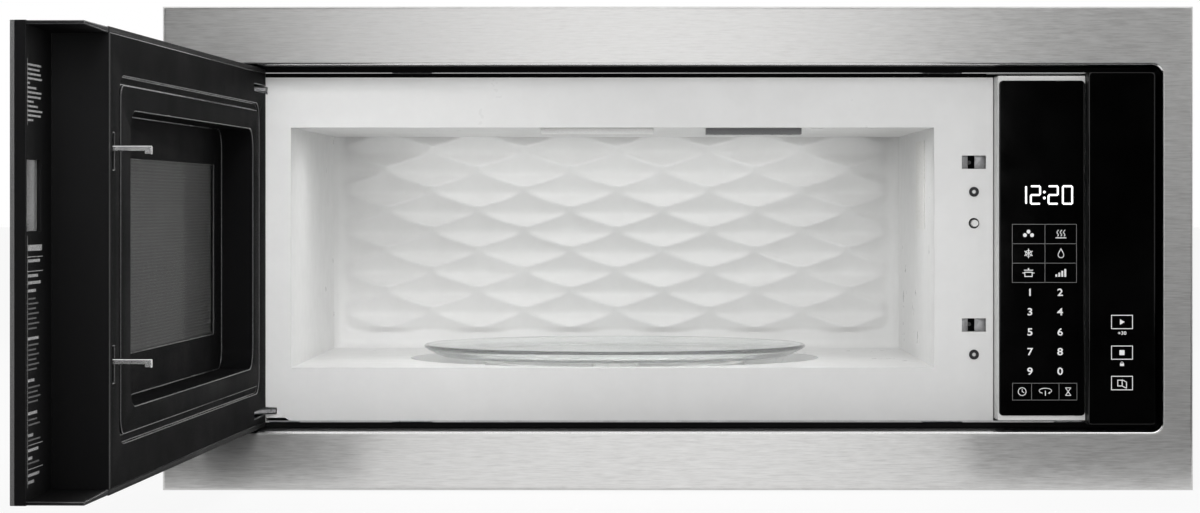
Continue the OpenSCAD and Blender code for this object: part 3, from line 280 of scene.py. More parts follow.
# Brushed lines: noise drawn out along X, at three scales, as colour, roughness and height.
lines, lines_in, lines_out = group("brushed_lines", {"Along": 4.0, "Across": 900.0},
                                   ("Shade", "Roughness", "Height"))
spot, height = spot_of(lines), 0.0
for share, stretch in ((0.62, 1.0), (0.30, 0.31), (0.08, 0.07)):
    finer = calc(lines, "MULTIPLY", lines_in.outputs["Across"], stretch)
    drawn_out = node(lines, "ShaderNodeCombineXYZ")
    for k, scale in enumerate((lines_in.outputs["Along"], finer, finer)):
        lines.links.new(calc(lines, "MULTIPLY", spot[k], scale), drawn_out.inputs[k])
    noise = node(lines, "ShaderNodeTexNoise", Scale=1.0, Detail=3.0, Roughness=0.6)
    lines.links.new(drawn_out.outputs[0], noise.inputs["Vector"])
    height = calc(lines, "ADD", height, calc(lines, "MULTIPLY", noise.outputs["Fac"], share))
lines.links.new(height, lines_out.inputs["Shade"])
lines.links.new(height, lines_out.inputs["Height"])
lines.links.new(spread(lines, height, (0.35, 0.65), -0.05, 0.05), lines_out.inputs["Roughness"])
stainless = finish("brushed_stainless", lines, (80, 1500),
                   ((0.47, 0.465, 0.46), (0.60, 0.597, 0.59), (0.70, 0.697, 0.69)), 0.36,
                   stops=(0.3, 0.5, 0.7), relief=("Height", 0.12, 0.0002), Metallic=1,
                   Anisotropic=0.7, Anisotropic_Rotation=0.25)
fold_highlight_steel = finish("polished_fold_painted_highlight", lines, (20, 2500), (0.72, 0.84), 0.16, stops=(0.3, 0.7),
                  Metallic=1)


def only(*pieces):
    """Selects these objects alone, the first of them active."""
    bpy.ops.object.select_all(action="DESELECT")
    for piece in pieces:
        piece.select_set(True)
    bpy.context.view_layer.objects.active = pieces[0]


def joined(pieces):
    """These objects as one."""
    only(*pieces)
    if len(pieces) > 1:
        bpy.ops.object.join()
    return bpy.context.object


def finish_piece(piece, name, material=None, body="oven", smooth=None):
    """Names a piece and one material, and lets it ride on its body."""
    piece.name = piece.data.name = name
    if material:
        wear(piece, material)
    if smooth:
        only(piece)
        bpy.ops.object.shade_smooth_by_angle(angle=math.radians(smooth))
    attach(piece, body)


def select_all():
    """Selects the whole mesh, in edit mode."""
    bpy.ops.mesh.select_all(action="SELECT")


def edit():
    """Goes to edit mode, with everything selected."""
    bpy.ops.object.mode_set(mode="EDIT")
    select_all()


def leave_edit():
    """Goes back to object mode."""
    bpy.ops.object.mode_set(mode="OBJECT")


def modify(piece, kind, **settings):
    """Adds a modifier with its settings and applies it."""
    made = piece.modifiers.new("shaped", kind)
    for key, value in settings.items():
        setattr(made, key, value)
    bpy.ops.object.modifier_apply(modifier="shaped")


def upright_plane(x0, x1, z0, z1, y, corner=0.0, steps=6):
    """A plane that faces the room, at its size and place, its corners rounded; in edit mode."""
    bpy.ops.mesh.primitive_plane_add(size=1, location=((x0 + x1) / 2, y, (z0 + z1) / 2),
                                     rotation=upright)
    piece = bpy.context.object
    piece.scale = (x1 - x0, z1 - z0, 1)
    apply_place()
    edit()
    if corner:
        bpy.ops.mesh.bevel(affect="VERTICES", offset=corner, segments=steps, clamp_overlap=False)
    return piece


def pick(piece, test, mode="EDGE", rim=False):
    """Selects, in edit mode, the faces or edges, or the open edges alone, whose middle and normal
    or direction pass the test."""
    bpy.ops.mesh.select_mode(type=mode)
    bpy.ops.mesh.select_all(action="DESELECT")
    form = bmesh.from_edit_mesh(piece.data)
    form.normal_update()
    for item in (form.faces if mode == "FACE" else form.edges):
        if mode == "FACE":
            middle, facing = item.calc_center_median(), item.normal
        else:
            middle = (item.verts[0].co + item.verts[1].co) / 2
            facing = (item.verts[0].co - item.verts[1].co).normalized()
        if test(middle, facing) and (not rim or item.is_boundary):
            item.select_set(True)
    form.select_flush_mode()
    bmesh.update_edit_mesh(piece.data)


def hold_flat(piece, width):
    """Insets the flat faces to the room, so that rounded edges don't bend their gloss, and leaves
    edit mode."""
    pick(piece, lambda m, n: n.y < -0.999, "FACE")
    bpy.ops.mesh.inset(thickness=width, depth=0, use_boundary=True)
    leave_edit()


trim_low, trim_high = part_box("trim_frame")
trim_half, trim_rise, front_y = trim_high[0], trim_high[2], trim_low[1]
open_half, open_rise, open_corner = 0.3565, 0.135, 0.008
trim_sheet, fold_back, fold_round, fold_flat = 0.0012, 0.010, 0.0018, 0.0005
same, fold_margin, front_slope = 1e-4, 0.004, -0.92
rings = []
for half, rise, corner in ((open_half, open_rise, open_corner), (trim_half, trim_rise, 0)):
    rings.append(upright_plane(-half, half, -rise, rise, front_y, corner, 8))
    bpy.ops.mesh.delete(type="ONLY_FACE")
    leave_edit()
trim = joined(rings)
edit()
bpy.ops.mesh.bridge_edge_loops()


def in_opening(spot, margin):
    """Whether a place lies in the trim's opening or on its edge, give or take a margin."""
    return abs(spot.x) < open_half + margin and abs(spot.z) < open_rise + margin


for inner, fold in ((True, fold_back), (False, trim_high[1] - front_y)):
    pick(trim, lambda m, n: in_opening(m, fold_margin) == inner, rim=True)
    bpy.ops.mesh.extrude_edges_move(TRANSFORM_OT_translate={"value": (0, fold, 0)})
select_all()
bpy.ops.mesh.normals_make_consistent(inside=False)
pick(trim, lambda m, n: abs(m.y - front_y) < 1e-5 and abs(n.y) < 0.5
     and (abs(m.x) > trim_half - 2 * same or abs(m.z) > trim_rise - 2 * same
          or in_opening(m, same)))
bpy.ops.mesh.bevel(offset=fold_round, segments=4, clamp_overlap=True)
hold_flat(trim, fold_flat)
modify(trim, "SOLIDIFY", thickness=trim_sheet, offset=-1)
finish_piece(trim, "trim_face", stainless, smooth=35)
# The fold at the opening gets the lighter, smoother steel; its lighter colour is a painted
# highlight.
trim.data.materials.append(fold_highlight_steel)
for face in trim.data.polygons:
    if in_opening(face.center, trim_sheet) and face.normal.y > front_slope:
        face.material_index = 1
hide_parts("trim_frame")


# Backing frame, clips and brackets: the black coated frame behind the trim is screwed to the
# cabinet, the bent spring clips hold the trim on it, and the brackets hold the oven to it. They
# are plain pressed steel, zinc plated except for the frame.
def blotches(name, kind, scale, outputs, source, **settings):
    """A shader group of one texture over Object coordinates: its value, or for a coloured one
    its red and green, spread over the range of each output {name: (low, high)}."""
    tree, inlet, outlet = group(name, {"Scale": scale}, outputs)
    texture = node(tree, kind, **settings)
    tree.links.new(node(tree, "ShaderNodeTexCoord").outputs["Object"], texture.inputs["Vector"])
    tree.links.new(inlet.outputs["Scale"], texture.inputs["Scale"])
    if kind == "ShaderNodeTexVoronoi":
        tone = node(tree, "ShaderNodeSeparateColor")
        tree.links.new(texture.outputs["Color"], tone.inputs[0])
        values = list(tone.outputs)
    else:
        values = [texture.outputs["Fac"]] * len(outputs)
    for value, (label, ends) in zip(values, outputs.items()):
        tree.links.new(spread(tree, value, source, *ends), outlet.inputs[label])
    return tree


# Grain is the fine texture of moulded plastic and powder coat, haze the wide faint blotches of
# handling and dust that change the gloss a little, and spangle the crystals of plated sheet.
grain = blotches("grain", "ShaderNodeTexNoise", 2500.0,
                 {"Shade": (0.0, 1.0), "Roughness": (0.06, -0.06), "Height": (0.0, 1.0)},
                 (0.3, 0.7), Detail=3.0, Roughness=0.65)
haze = blotches("haze", "ShaderNodeTexNoise", 14.0,
                {"Shade": (0.0, 1.0), "Roughness": (-0.05, 0.07)}, (0.3, 0.7), Detail=6.0,
                Roughness=0.7)
spangle = blotches("spangle", "ShaderNodeTexVoronoi", 120.0,
                   {"Shade": (0.0, 1.0), "Roughness": (-0.07, 0.07)}, (0.0, 1.0))


def coated(name, dark, light, roughness, scale, strength, specular=0.5, coat=0.0, depth=0.0002,
           hazy=12.0):
    """A coated or moulded finish: fine grain in colour and height, haze in its gloss."""
    return finish(name, grain, (scale,), (dark, light), roughness,
                  relief=("Height", strength, depth), hazy=hazy, Specular_IOR_Level=specular,
                  Coat_Weight=coat, Coat_Roughness=0.08)


def plated(name, dark, light, roughness, scale):
    """Bare or plated metal with a crystal pattern and faint haze."""
    return finish(name, spangle, (scale,), (dark, light), roughness, stops=(0.1, 0.9),
                  relief=("Shade", 0.04, 0.0002), hazy=25, Metallic=1)


def paint(material, *names):
    """Gives CAD nodes whose shape is right their material."""
    for name in names:
        wear(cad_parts[name], material)


zinc = plated("zinc_plate", (0.54, 0.55, 0.56), (0.62, 0.63, 0.64), 0.38, 260.0)
black_coat = coated("black_coat", (0.014, 0.014, 0.015), (0.028, 0.028, 0.029), 0.5, 1800, 0.25)
paint(black_coat, "trim_backing_frame")
paint(zinc, "trim_clips", "mounting_brackets")


# Surround: a black moulded ring that closes the gap between the trim and the oven, with a thin
# lip at the front and a flange behind the trim.
black_plastic = coated("black_plastic", (0.002, 0.002, 0.0022), (0.0045, 0.0045, 0.0048), 0.48,
                       2600, 0.2, specular=0.12)
paint(black_plastic, "surround_bezel")


# Outer cover, base and back: folded sheet, the cover powder coated grey and the rest plated, with
# louvres for the cooling air, screwed together at the back. The cord's gland and the rubber feet
# are pushed into holes.
powder_coat = coated("grey_powder_coat", (0.27, 0.27, 0.28), (0.38, 0.38, 0.39), 0.55, 1400, 0.5)
rubber = coated("rubber", 0.02, 0.05, 0.8, 1600, 0.5, specular=0.3)
paint(powder_coat, "outer_cover")
paint(zinc, "base_plate", "back_panel", "case_screws")
paint(black_plastic, "cord_gland")
paint(rubber, "base_feet")


# Front plate: enamelled steel, glossy white, with its edges folded back, two slots for the
# door's hooks, the sunk pocket for the hinges and two dark screws, each with a painted glint in its
# middle.
enamel = coated("white_enamel", (0.785, 0.785, 0.78), (0.80, 0.80, 0.795), 0.34, 60, 0.01,
                coat=0.15, depth=0.00005, hazy=5.0)
paint(enamel, "front_plate")
screw_x, screw_middle, screw_apart = 0.2222, -0.01915, 0.06095
glint_inner_radius, glint_outer_radius = 0.0011, 0.0016
screw_heads, tree, shader = fresh("screw_heads", Metallic=1.0)
spot = spot_of(tree)
off_middle = calc(tree, "ABSOLUTE", calc(tree, "SUBTRACT", spot[2], screw_middle))
aside = calc(tree, "SUBTRACT", spot[0], screw_x)
above = calc(tree, "SUBTRACT", off_middle, screw_apart)
squares = [calc(tree, "MULTIPLY", off, off) for off in (aside, above)]
reach = calc(tree, "SQRT", calc(tree, "ADD", *squares))
# A bright disc in each screw's middle, fading out to the dark head: a painted glint.
socket = spread(tree, reach, (glint_inner_radius, glint_outer_radius))
tree.links.new(ramp(tree, socket, (0.0, 0.75), (1.0, (0.05, 0.05, 0.052))),
               shader.inputs["Base Color"])
tree.links.new(calc(tree, "ADD", effect(tree, haze, 300.0)["Roughness"], 0.35),
               shader.inputs["Roughness"])
paint(screw_heads, "front_plate_screws")


# Plate seal: a strip of black foam glued along the top edge of the front plate closes the gap
# to the cover, so that no light or steam gets through above it.
def block(low, high):
    """A plain block between two corners, to be shaped further."""
    bpy.ops.mesh.primitive_cube_add(size=1, location=[(a + b) / 2 for a, b in zip(low, high)])
    piece = bpy.context.object
    piece.dimensions = [b - a for a, b in zip(low, high)]
    apply_place()
    return piece


def round_edges(width, finish_slot=-1):
    """Rounds all edges of the active piece, with the finish in that slot on the rounded ones."""
    edit()
    bpy.ops.mesh.bevel(offset=width, segments=2, clamp_overlap=True, material=finish_slot)
    leave_edit()


seal = block((-0.343, 0.0278, 0.1276), (0.232, 0.0326, 0.1304))
round_edges(0.0008)
foam = coated("black_foam", 0.002, 0.008, 0.9, 1500, 0.6, specular=0.05)
finish_piece(seal, "plate_seal", foam, smooth=40)


# Cavity: enamelled steel sheets welded to a box. The pressed back panel has staggered diamond
# dimples, soft in the middle and crisp where they meet, a flat border, and rounded corners that
# run forward on to the floor and the walls.
paint(enamel, "cavity_shell")
panel_low, panel_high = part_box("cavity_back_panel")
panel_x = (panel_low[0] + panel_high[0]) / 2
panel_z = (panel_low[2] + panel_high[2]) / 2
panel_wide, panel_tall = panel_high[0] - panel_low[0], panel_high[2] - panel_low[2]
columns, rows, panel_back, panel_sheet = 172, 149, 0.3718, 0.001
dimple_cells, shift_cells, dimple_rise, cove_round = 14, -4.5, 0.0078, 0.008
dimple_half_wide = dimple_cells * panel_wide / columns
dimple_half_tall = dimple_cells * panel_tall / rows
dimple_shift = shift_cells * panel_tall / rows
# how softly a dimple bends across and up, how far it leans down, its share across, the height
# where it is full and the power of its fall
soft_across, soft_up, lean, share_across, full, fall = 0.34, 0.20, 0.37, 0.85, 0.72, 1.15
relief_half_wide, relief_foot, relief_corner, relief_fade = 0.2345, -0.0765, 0.012, 0.005
side_fade, relief_step, step_wide = 0.034, 0.0007, 0.0022
bpy.ops.mesh.primitive_grid_add(x_subdivisions=columns, y_subdivisions=rows, size=1,
                                location=(panel_x, panel_back, panel_z), rotation=upright)
relief = bpy.context.object
relief.scale = (panel_wide, panel_tall, 1)
apply_place()


def limited(share):
    """A share held between 0 and 1."""
    return min(max(share, 0), 1)


for vertex in relief.data.vertices:
    across, up = vertex.co.x - panel_x, vertex.co.z - panel_z
    u, v = across / dimple_half_wide, (up - dimple_shift) / dimple_half_tall + lean / 2
    # each dimple is a bowl, steeper below its middle than above it, and the lowest bowl at a
    # place wins, so that they meet in ridges
    low_u, low_v = math.floor(u), math.floor(v)
    wall = min(share_across * (math.hypot(u - i, soft_across) - soft_across)
               + (1 - math.copysign(lean, v - j)) * (math.hypot(v - j, soft_up) - soft_up)
               for i in range(low_u - 1, low_u + 3) for j in range(low_v - 1, low_v + 3)
               if (i + j) % 2 == 0)
    height = dimple_rise * min(1, wall / full) ** fall
    # distance inside the rounded border of the relief, which is open at the top
    side = max(abs(across) - relief_half_wide + relief_corner, 0)
    end = max(relief_foot - up + relief_corner, 0)
    inside = relief_corner - math.hypot(side, end) if side and end \
        else min(relief_half_wide - abs(across), up - relief_foot)
    fade = limited(inside / relief_fade) * limited((relief_half_wide - abs(across)) / side_fade)
    step = limited(inside / step_wide)
    height = height * fade * (2 - fade) + relief_step * (1 - step * step * (3 - 2 * step))
    for near in (panel_wide / 2 - abs(across), up + panel_tall / 2):
        if near < cove_round:
            height += cove_round - math.sqrt(cove_round ** 2 - (cove_round - near) ** 2)
    vertex.co.y = panel_back - min(height, cove_round)
modify(relief, "SOLIDIFY", thickness=panel_sheet, offset=-1)
# The back panel's enamel is a duller and darker copy of the white enamel; its darker colour is
# painted shade for the back of the cavity.
back_enamel_painted_shade = coated("back_enamel_painted_shade", (0.725, 0.725, 0.72), (0.74, 0.74, 0.735), 0.38, 60, 0.01,
                     depth=0.00005, hazy=5.0)
finish_piece(relief, "cavity_back_relief", back_enamel_painted_shade, smooth=40)
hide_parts("cavity_back_panel")


# Mica sheet over the waveguide on the right wall, the light cover under the lamp and the dark
# vent of the steam sensor, both clipped in the roof. The lamp behind the cover is lit.
mica = coated("mica", (0.66, 0.655, 0.635), (0.74, 0.735, 0.72), 0.5, 500, 0.1)
paint(mica, "waveguide_cover")
grey_plastic = coated("grey_plastic", (0.13, 0.13, 0.135), (0.19, 0.19, 0.195), 0.5, 2400, 0.2)
paint(grey_plastic, "sensor_vent_cover")
lamp_plastic = coated("lamp_cover_plastic", (0.82, 0.82, 0.81), (0.88, 0.88, 0.87), 0.4, 1500, 0.08)
paint(lamp_plastic, "lamp_cover")
lamp_low, light_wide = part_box("lamp_cover")[0], 0.38
for name, along, drop, tilt, deep, energy in (("oven_light", 0.322, 0.001, 30, 0.03, 0.105),
                                              ("oven_fill", 0.085, -0.0006, 0, 0.08, 0.42)):
    area_light(name, (panel_x, along, lamp_low[2] + drop), (math.radians(tilt), 0, 0), light_wide,
               deep, energy, False)
bulb_glass = finish("bulb_glass", haze, (60,), ((0.95, 0.90, 0.78), (1.0, 0.97, 0.88)),
                    Roughness=0.2, Emission_Color=(1, 0.95, 0.82, 1), Emission_Strength=0.6)
paint(bulb_glass, "oven_lamp")


# Turntable: a synchronous motor under the floor turns a shaft and a white coupler, which carries
# the glass tray. A moulded ring with three rollers runs loose between the tray and the floor.
white_plastic = coated("white_plastic", (0.72, 0.72, 0.71), (0.80, 0.80, 0.79), 0.42, 2200, 0.12)
paint(zinc, "turntable_motor", "motor_shaft")
paint(white_plastic, "drive_coupler", "roller_ring", "roller_front", "roller_left", "roller_right")


def turned(points, centre, steps):
    """A form turned about an upright axis from (radius, height) points, the first and the last
    of them on the axis."""
    bpy.ops.mesh.primitive_circle_add(vertices=len(points), radius=0.01, location=(0, 0, 0))
    piece = bpy.context.object
    for vertex, (radius, height) in zip(piece.data.vertices, points):
        vertex.co = (centre[0] + radius, centre[1], centre[2] + height)
    edit()
    form = bmesh.from_edit_mesh(piece.data)
    form.verts.ensure_lookup_table()
    first, last = form.verts[0], form.verts[len(points) - 1]
    closing = [e for e in first.link_edges if last in e.verts]
    bmesh.ops.delete(form, geom=closing, context="EDGES_FACES")
    bmesh.update_edit_mesh(piece.data)
    select_all()
    bpy.ops.mesh.spin(steps=steps, angle=2 * math.pi, center=centre, axis=(0, 0, 1))
    select_all()
    bpy.ops.mesh.remove_doubles(threshold=1e-5)
    bpy.ops.mesh.normals_make_consistent(inside=False)
    leave_edit()
    return piece


tray_low, tray_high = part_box("glass_tray")
tray_radius = (tray_high[0] - tray_low[0]) / 2
tray_under, tray_top = 0.0013, tray_high[2] - tray_low[2]
# the underside out to the rim, the rounded rim, and the top side back in, from the middle on
underside = [(radius, tray_under + rise) for radius, rise in (
    (0, 0), (0.124, 0), (0.1325, 0.0001), (0.1385, 0.0008), (0.1425, 0.0022), (0.1460, 0.0042),
    (0.1492, 0.0058), (tray_radius - 0.0012, 0.0068), (tray_radius - 0.0003, 0.0076),
    (tray_radius, 0.0086), (tray_radius - 0.0004, 0.0094))]
rim = [(tray_radius - inwards, tray_top - down) for inwards, down in (
    (0.0014, 0), (0.0028, 0.0002), (0.0046, 0.0014))]
top_side = [(radius, tray_under + rise) for radius, rise in (
    (0.1435, 0.0068), (0.1395, 0.0050), (0.1350, 0.0042), (0.1290, 0.0040), (0.1, 0.0040),
    (0, 0.0040))]
tray = turned(underside + rim + top_side,
              ((tray_low[0] + tray_high[0]) / 2, (tray_low[1] + tray_high[1]) / 2, tray_low[2]),
              128)
tray_glass = finish("clear_glass", haze, (18,), ((0.955, 0.975, 0.97), (0.985, 0.995, 0.99)),
                    0.05, 0.2, Transmission_Weight=0.93, IOR=1.24)
finish_piece(tray, "turned_glass_tray", tray_glass, "tray", 30)
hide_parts("glass_tray")


# Microwave generator: the finned magnetron feeds the waveguide on the right wall. The laminated
# transformer and the capacitor can drive it, and the fan draws air over them through its housing
# and duct. The filter board and two thermal cutouts guard it.
aluminium = plated("aluminium", (0.70, 0.70, 0.71), (0.80, 0.80, 0.81), 0.32, 300.0)
paint(aluminium, "magnetron", "hv_capacitor")
paint(zinc, "waveguide", "fan_motor")
laminations = finish("varnished_laminations", lines, (3, 2600),
                     ((0.035, 0.03, 0.03), (0.10, 0.085, 0.08), (0.19, 0.15, 0.13)), 0.45,
                     stops=(0.35, 0.5, 0.65), relief=("Height", 0.5, 0.0006), Metallic=0.4)
paint(laminations, "power_transformer")
paint(black_plastic, "fan_housing", "air_duct")
paint(grey_plastic, "fan_blade")
paint(white_plastic, "thermal_cutouts")
circuit_board = finish("circuit_board", spangle, (420,),
                       ((0.012, 0.10, 0.035), (0.02, 0.17, 0.06), (0.55, 0.55, 0.5)), 0.35,
                       stops=(0.35, 0.75, 0.93), relief=("Shade", 0.3, 0.0003))
paint(circuit_board, "noise_filter_board", "control_board")


# Control column: a white moulded housing beside the cavity carries a black glass panel, with the
# lit clock behind it and white print for the keys. The print is plain numbers and plain signs.
paint(white_plastic, "control_housing")
black_glass = finish("black_glass", haze, (16,), (0.0008, 0.0016), 0.055, 0.4, (0.2, 0.9),
                     Specular_IOR_Level=0.4)
lens = finish("clock_lens", haze, (60,), (0.008, 0.016), 0.12)
paint(lens, "clock_display")


# Clock: four seven-segment figures and a colon on the display behind the black glass, through
# which they are read. Each segment is a slim lit bar with pointed ends. All print is flat, drawn
# in millimetres on a panel (x, z) and lifted a hair off the glass.
ink_lift = 0.00005
keypad_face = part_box("keypad_panel")[0][1] - ink_lift
lit = finish("lit_segments", haze, (90,), (0.9, 1.0), 0.4, stops=(0.1, 0.9),
             into="Emission Color", Emission_Strength=1.15)


def printed(drawn, face, name, material, body="oven", facing=-1):
    """Closes a drawing: joins its parts into one piece and sets it upright on a face, turned to
    the room, or with facing 1 to the oven."""
    piece = joined(drawn)
    apply_place()
    for vertex in piece.data.vertices:
        vertex.co = (vertex.co.x / 1000, face, vertex.co.y / 1000)
    form = bmesh.new()
    form.from_mesh(piece.data)
    form.normal_update()
    bmesh.ops.reverse_faces(form, faces=[f for f in form.faces if f.normal.y * facing < 0])
    form.to_mesh(piece.data)
    form.free()
    finish_piece(piece, name, material, body)
    return piece


def disc(x, z, radius, sides=20, turn=0.0):
    """A filled disc, or with few sides a filled triangle."""
    bpy.ops.mesh.primitive_circle_add(vertices=sides, radius=radius, fill_type="NGON",
                                      location=(x, z, 0), rotation=(0, 0, turn))
    return bpy.context.object


digit_tall, digit_wide, segment, clock_foot, colon_x = 12.95, 6.9, 1.35, 32.85, 271.3
segment_ends = {"a": ((0, 1), (1, 1)), "b": ((1, 0.5), (1, 1)), "c": ((1, 0), (1, 0.5)),
                "d": ((0, 0), (1, 0)), "e": ((0, 0), (0, 0.5)), "f": ((0, 0.5), (0, 1)),
                "g": ((0, 0.5), (1, 0.5))}
drawn = []
for start, shown in ((250.9, "bc"), (261.3, "abged"), (274.4, "abged"), (285.0, "abcdef")):
    for name in shown:
        (x0, z0), (x1, z1) = segment_ends[name]
        standing = x0 == x1
        long = (digit_tall / 2 if standing else digit_wide) - 0.75 * segment
        piece = disc(0, 0, segment / 2 / math.cos(math.radians(30)), 6, math.radians(30))
        apply_place()
        for vertex in piece.data.vertices:
            vertex.co.x += math.copysign((long - segment * 0.3) / 2, vertex.co.x)
        piece.rotation_euler = (0, 0, math.radians(90) if standing else 0)
        piece.location = (start + (x0 + x1) / 2 * digit_wide,
                          clock_foot + (z0 + z1) / 2 * digit_tall, 0)
        drawn.append(piece)
drawn += [disc(colon_x, clock_foot + share * digit_tall, 1.0, 12) for share in (0.33, 0.67)]
printed(drawn, keypad_face, "clock_figures", lit)


# Key print: a grid of six programme keys, ten plain figures and a row of three keys below, each
# sign drawn in strokes: kernels, steam, frost, a drop, a pot, power bars, clock, turntable, timer.
# The white ink is given a faint glow of its own: painted light that makes the print brighter than
# the lamps make it.
ink = finish("white_ink_painted_glow", grain, (5000,), (0.70, 0.82), 0.5, Emission_Color=(1, 1, 1, 1),
             Emission_Strength=0.12)
grey_ink = finish("grey_ink", grain, (5000,), (0.16, 0.22), 0.5)
type_size, type_weight, type_width = 1.37, 0.022, 1.16  # to a figure's height, and stretch


def bar(x0, z0, x1, z1, round_corner=0.0):
    """A filled bar."""
    bpy.ops.mesh.primitive_plane_add(size=1, location=((x0 + x1) / 2, (z0 + z1) / 2, 0))
    piece = bpy.context.object
    piece.scale = (abs(x1 - x0), abs(z1 - z0), 1)
    apply_place()
    if round_corner:
        edit()
        bpy.ops.mesh.bevel(affect="VERTICES", offset=round_corner, segments=3)
        leave_edit()
    return piece


def outline(x0, z0, x1, z1, line):
    """The four sides of a box, as thin bars."""
    return [bar(x0, z0, x1, z0 + line), bar(x0, z1 - line, x1, z1),
            bar(x0, z0 + line, x0 + line, z1 - line), bar(x1 - line, z0 + line, x1, z1 - line)]


def stroke(points, width, closed=False):
    """A line of that width along the points, as a row of bars turned to their direction."""
    made = []
    for (x0, z0), (x1, z1) in zip(points, points[1:] + points[:1] if closed else points[1:]):
        long = math.hypot(x1 - x0, z1 - z0)
        piece = bar(-width / 3, -width / 2, long + width / 3, width / 2)
        piece.rotation_euler = (0, 0, math.atan2(z1 - z0, x1 - x0))
        piece.location = (x0, z0, 0)
        made.append(piece)
    return made


def round_points(x, z, radius, start=0, end=360, count=18, squash=1.0):
    """Points along part of a circle, in degrees."""
    return [(x + radius * math.cos(math.radians(start + (end - start) * k / count)),
             z + squash * radius * math.sin(math.radians(start + (end - start) * k / count)))
            for k in range(count + 1)]


def figure(text, x, z, tall):
    """Plain figures, centred, as a mesh."""
    bpy.ops.object.text_add(location=(0, 0, 0))
    piece = bpy.context.object
    piece.data.body = text
    piece.data.align_x = piece.data.align_y = "CENTER"
    piece.data.size = tall * type_size
    piece.data.offset = tall * type_weight
    piece.data.resolution_u = 6
    piece.location = (x, z, 0)
    piece.scale = (type_width, 1, 1)
    bpy.ops.object.convert(target="MESH")
    return bpy.context.object


hairline = 0.36
drawn = outline(247.4, -25.6, 295.3, 17.8, hairline)
drawn.append(bar(271.6, -25.6, 271.6 + hairline, 17.8))
drawn += [bar(247.4, z, 295.3, z + hairline) for z in (3.1, -11.3)]
drawn += outline(247.6, -112.6, 295.6, -99.8, hairline)
drawn += [bar(x, -112.6, x + hairline, -99.8) for x in (261.7, 282.0)]
printed(drawn, keypad_face, "key_grid_print", grey_ink)

thin = 0.62
left_key, right_key = 259.6, 283.6
drawn = [disc(left_key + dx, 10.7 + dz, 1.45) for dx, dz in ((-2.6, -1.1), (0, 1.5), (2.6, -1.1))]
for k in (-1, 0, 1):
    drawn += stroke([(right_key + 2.4 * k + 0.55 * math.sin(t * 1.05), 8.9 + 0.62 * t)
                     for t in range(8)], thin)
drawn.append(bar(right_key - 4, 7.3, right_key + 4, 7.95))
frost_z, frost_arm = -3.9, 3.3
for turn in (30, 90, 150):
    cosine, sine = math.cos(math.radians(turn)), math.sin(math.radians(turn))
    dx, dz = frost_arm * cosine, frost_arm * sine
    drawn += stroke([(left_key - dx, frost_z - dz), (left_key + dx, frost_z + dz)], thin)
    for end in (-0.62, 0.62):
        x, z = left_key + end * dx, frost_z + end * dz
        drawn += stroke([(x - 0.9 * sine, z + 0.9 * cosine), (x + 0.9 * sine, z - 0.9 * cosine)],
                        thin * 0.8)
drop = [(right_key, -0.4)] + round_points(right_key, -5.0, 2.1, 150, 390, 14)
drawn += stroke(drop, thin, closed=True)
drawn += outline(left_key - 3.0, -21.3, left_key + 3.0, -17.5, thin)
drawn += [bar(left_key - 4.5, -18.7, left_key - 3.0, -18.1),
          bar(left_key + 3.0, -18.7, left_key + 4.5, -18.1),
          bar(left_key - 3.4, -16.6, left_key + 3.4, -16.0), disc(left_key, -15.4, 0.6, 12)]
drawn += [bar(right_key - 4.1 + 2.2 * k, -21.2, right_key - 2.7 + 2.2 * k, -19.4 + 1.3 * k)
          for k in range(4)]
for pair, z in (("12", -33.0), ("34", -47.4), ("56", -62.3), ("78", -76.9), ("90", -91.4)):
    drawn += [figure(text, x, z, 5.5) for text, x in zip(pair, (260.7, 283.0))]
small, clock_x, turn_x, glass_x, glass_wide = -106.2, 254.9, 272.1, 287.0, 3.9
drawn += stroke(round_points(clock_x, small, 2.9, 0, 360, 24), thin * 0.9)
drawn += stroke([(clock_x, small + 1.8), (clock_x, small), (clock_x + 1.4, small - 0.7)],
                thin * 0.8)
drawn += stroke(round_points(turn_x, small + 0.6, 4.6, -60, 240, 24, 0.42), thin * 0.9)
drawn += [bar(turn_x - 0.3, small - 3.0, turn_x + 0.3, small + 0.6),
          disc(turn_x + 2.8, small - 1.0, 1.0, 3, math.radians(-20))]
drawn += stroke([(glass_x, small + 2.8), (glass_x + glass_wide, small + 2.8),
                 (glass_x, small - 2.8), (glass_x + glass_wide, small - 2.8)], thin * 0.8,
                closed=True)
printed(drawn, keypad_face, "key_print", ink)


# Side touch strip: a tall black glass with softly ground edges, glued on its housing. Its three
# touch keys are boxes with a start sign, a stop sign and a door sign, and small print below.
paint(black_plastic, "side_panel_housing")


def glass_plate(node_name, corner, edge, name):
    """A glass plate at a CAD node's box, its upright corners rounded and its front edge ground."""
    low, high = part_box(node_name)
    piece = upright_plane(low[0], high[0], low[2], high[2], low[1], corner)
    select_all()
    bpy.ops.mesh.extrude_region_move(TRANSFORM_OT_translate={"value": (0, high[1] - low[1], 0)})
    select_all()
    bpy.ops.mesh.normals_make_consistent(inside=False)
    pick(piece, lambda m, n: abs(m.y - low[1]) < 1e-5 and abs(n.y) < 0.5)
    bpy.ops.mesh.bevel(offset=edge, segments=3, clamp_overlap=True)
    hold_flat(piece, 0.0003)
    finish_piece(piece, name, black_glass, smooth=40)
    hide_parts(node_name)


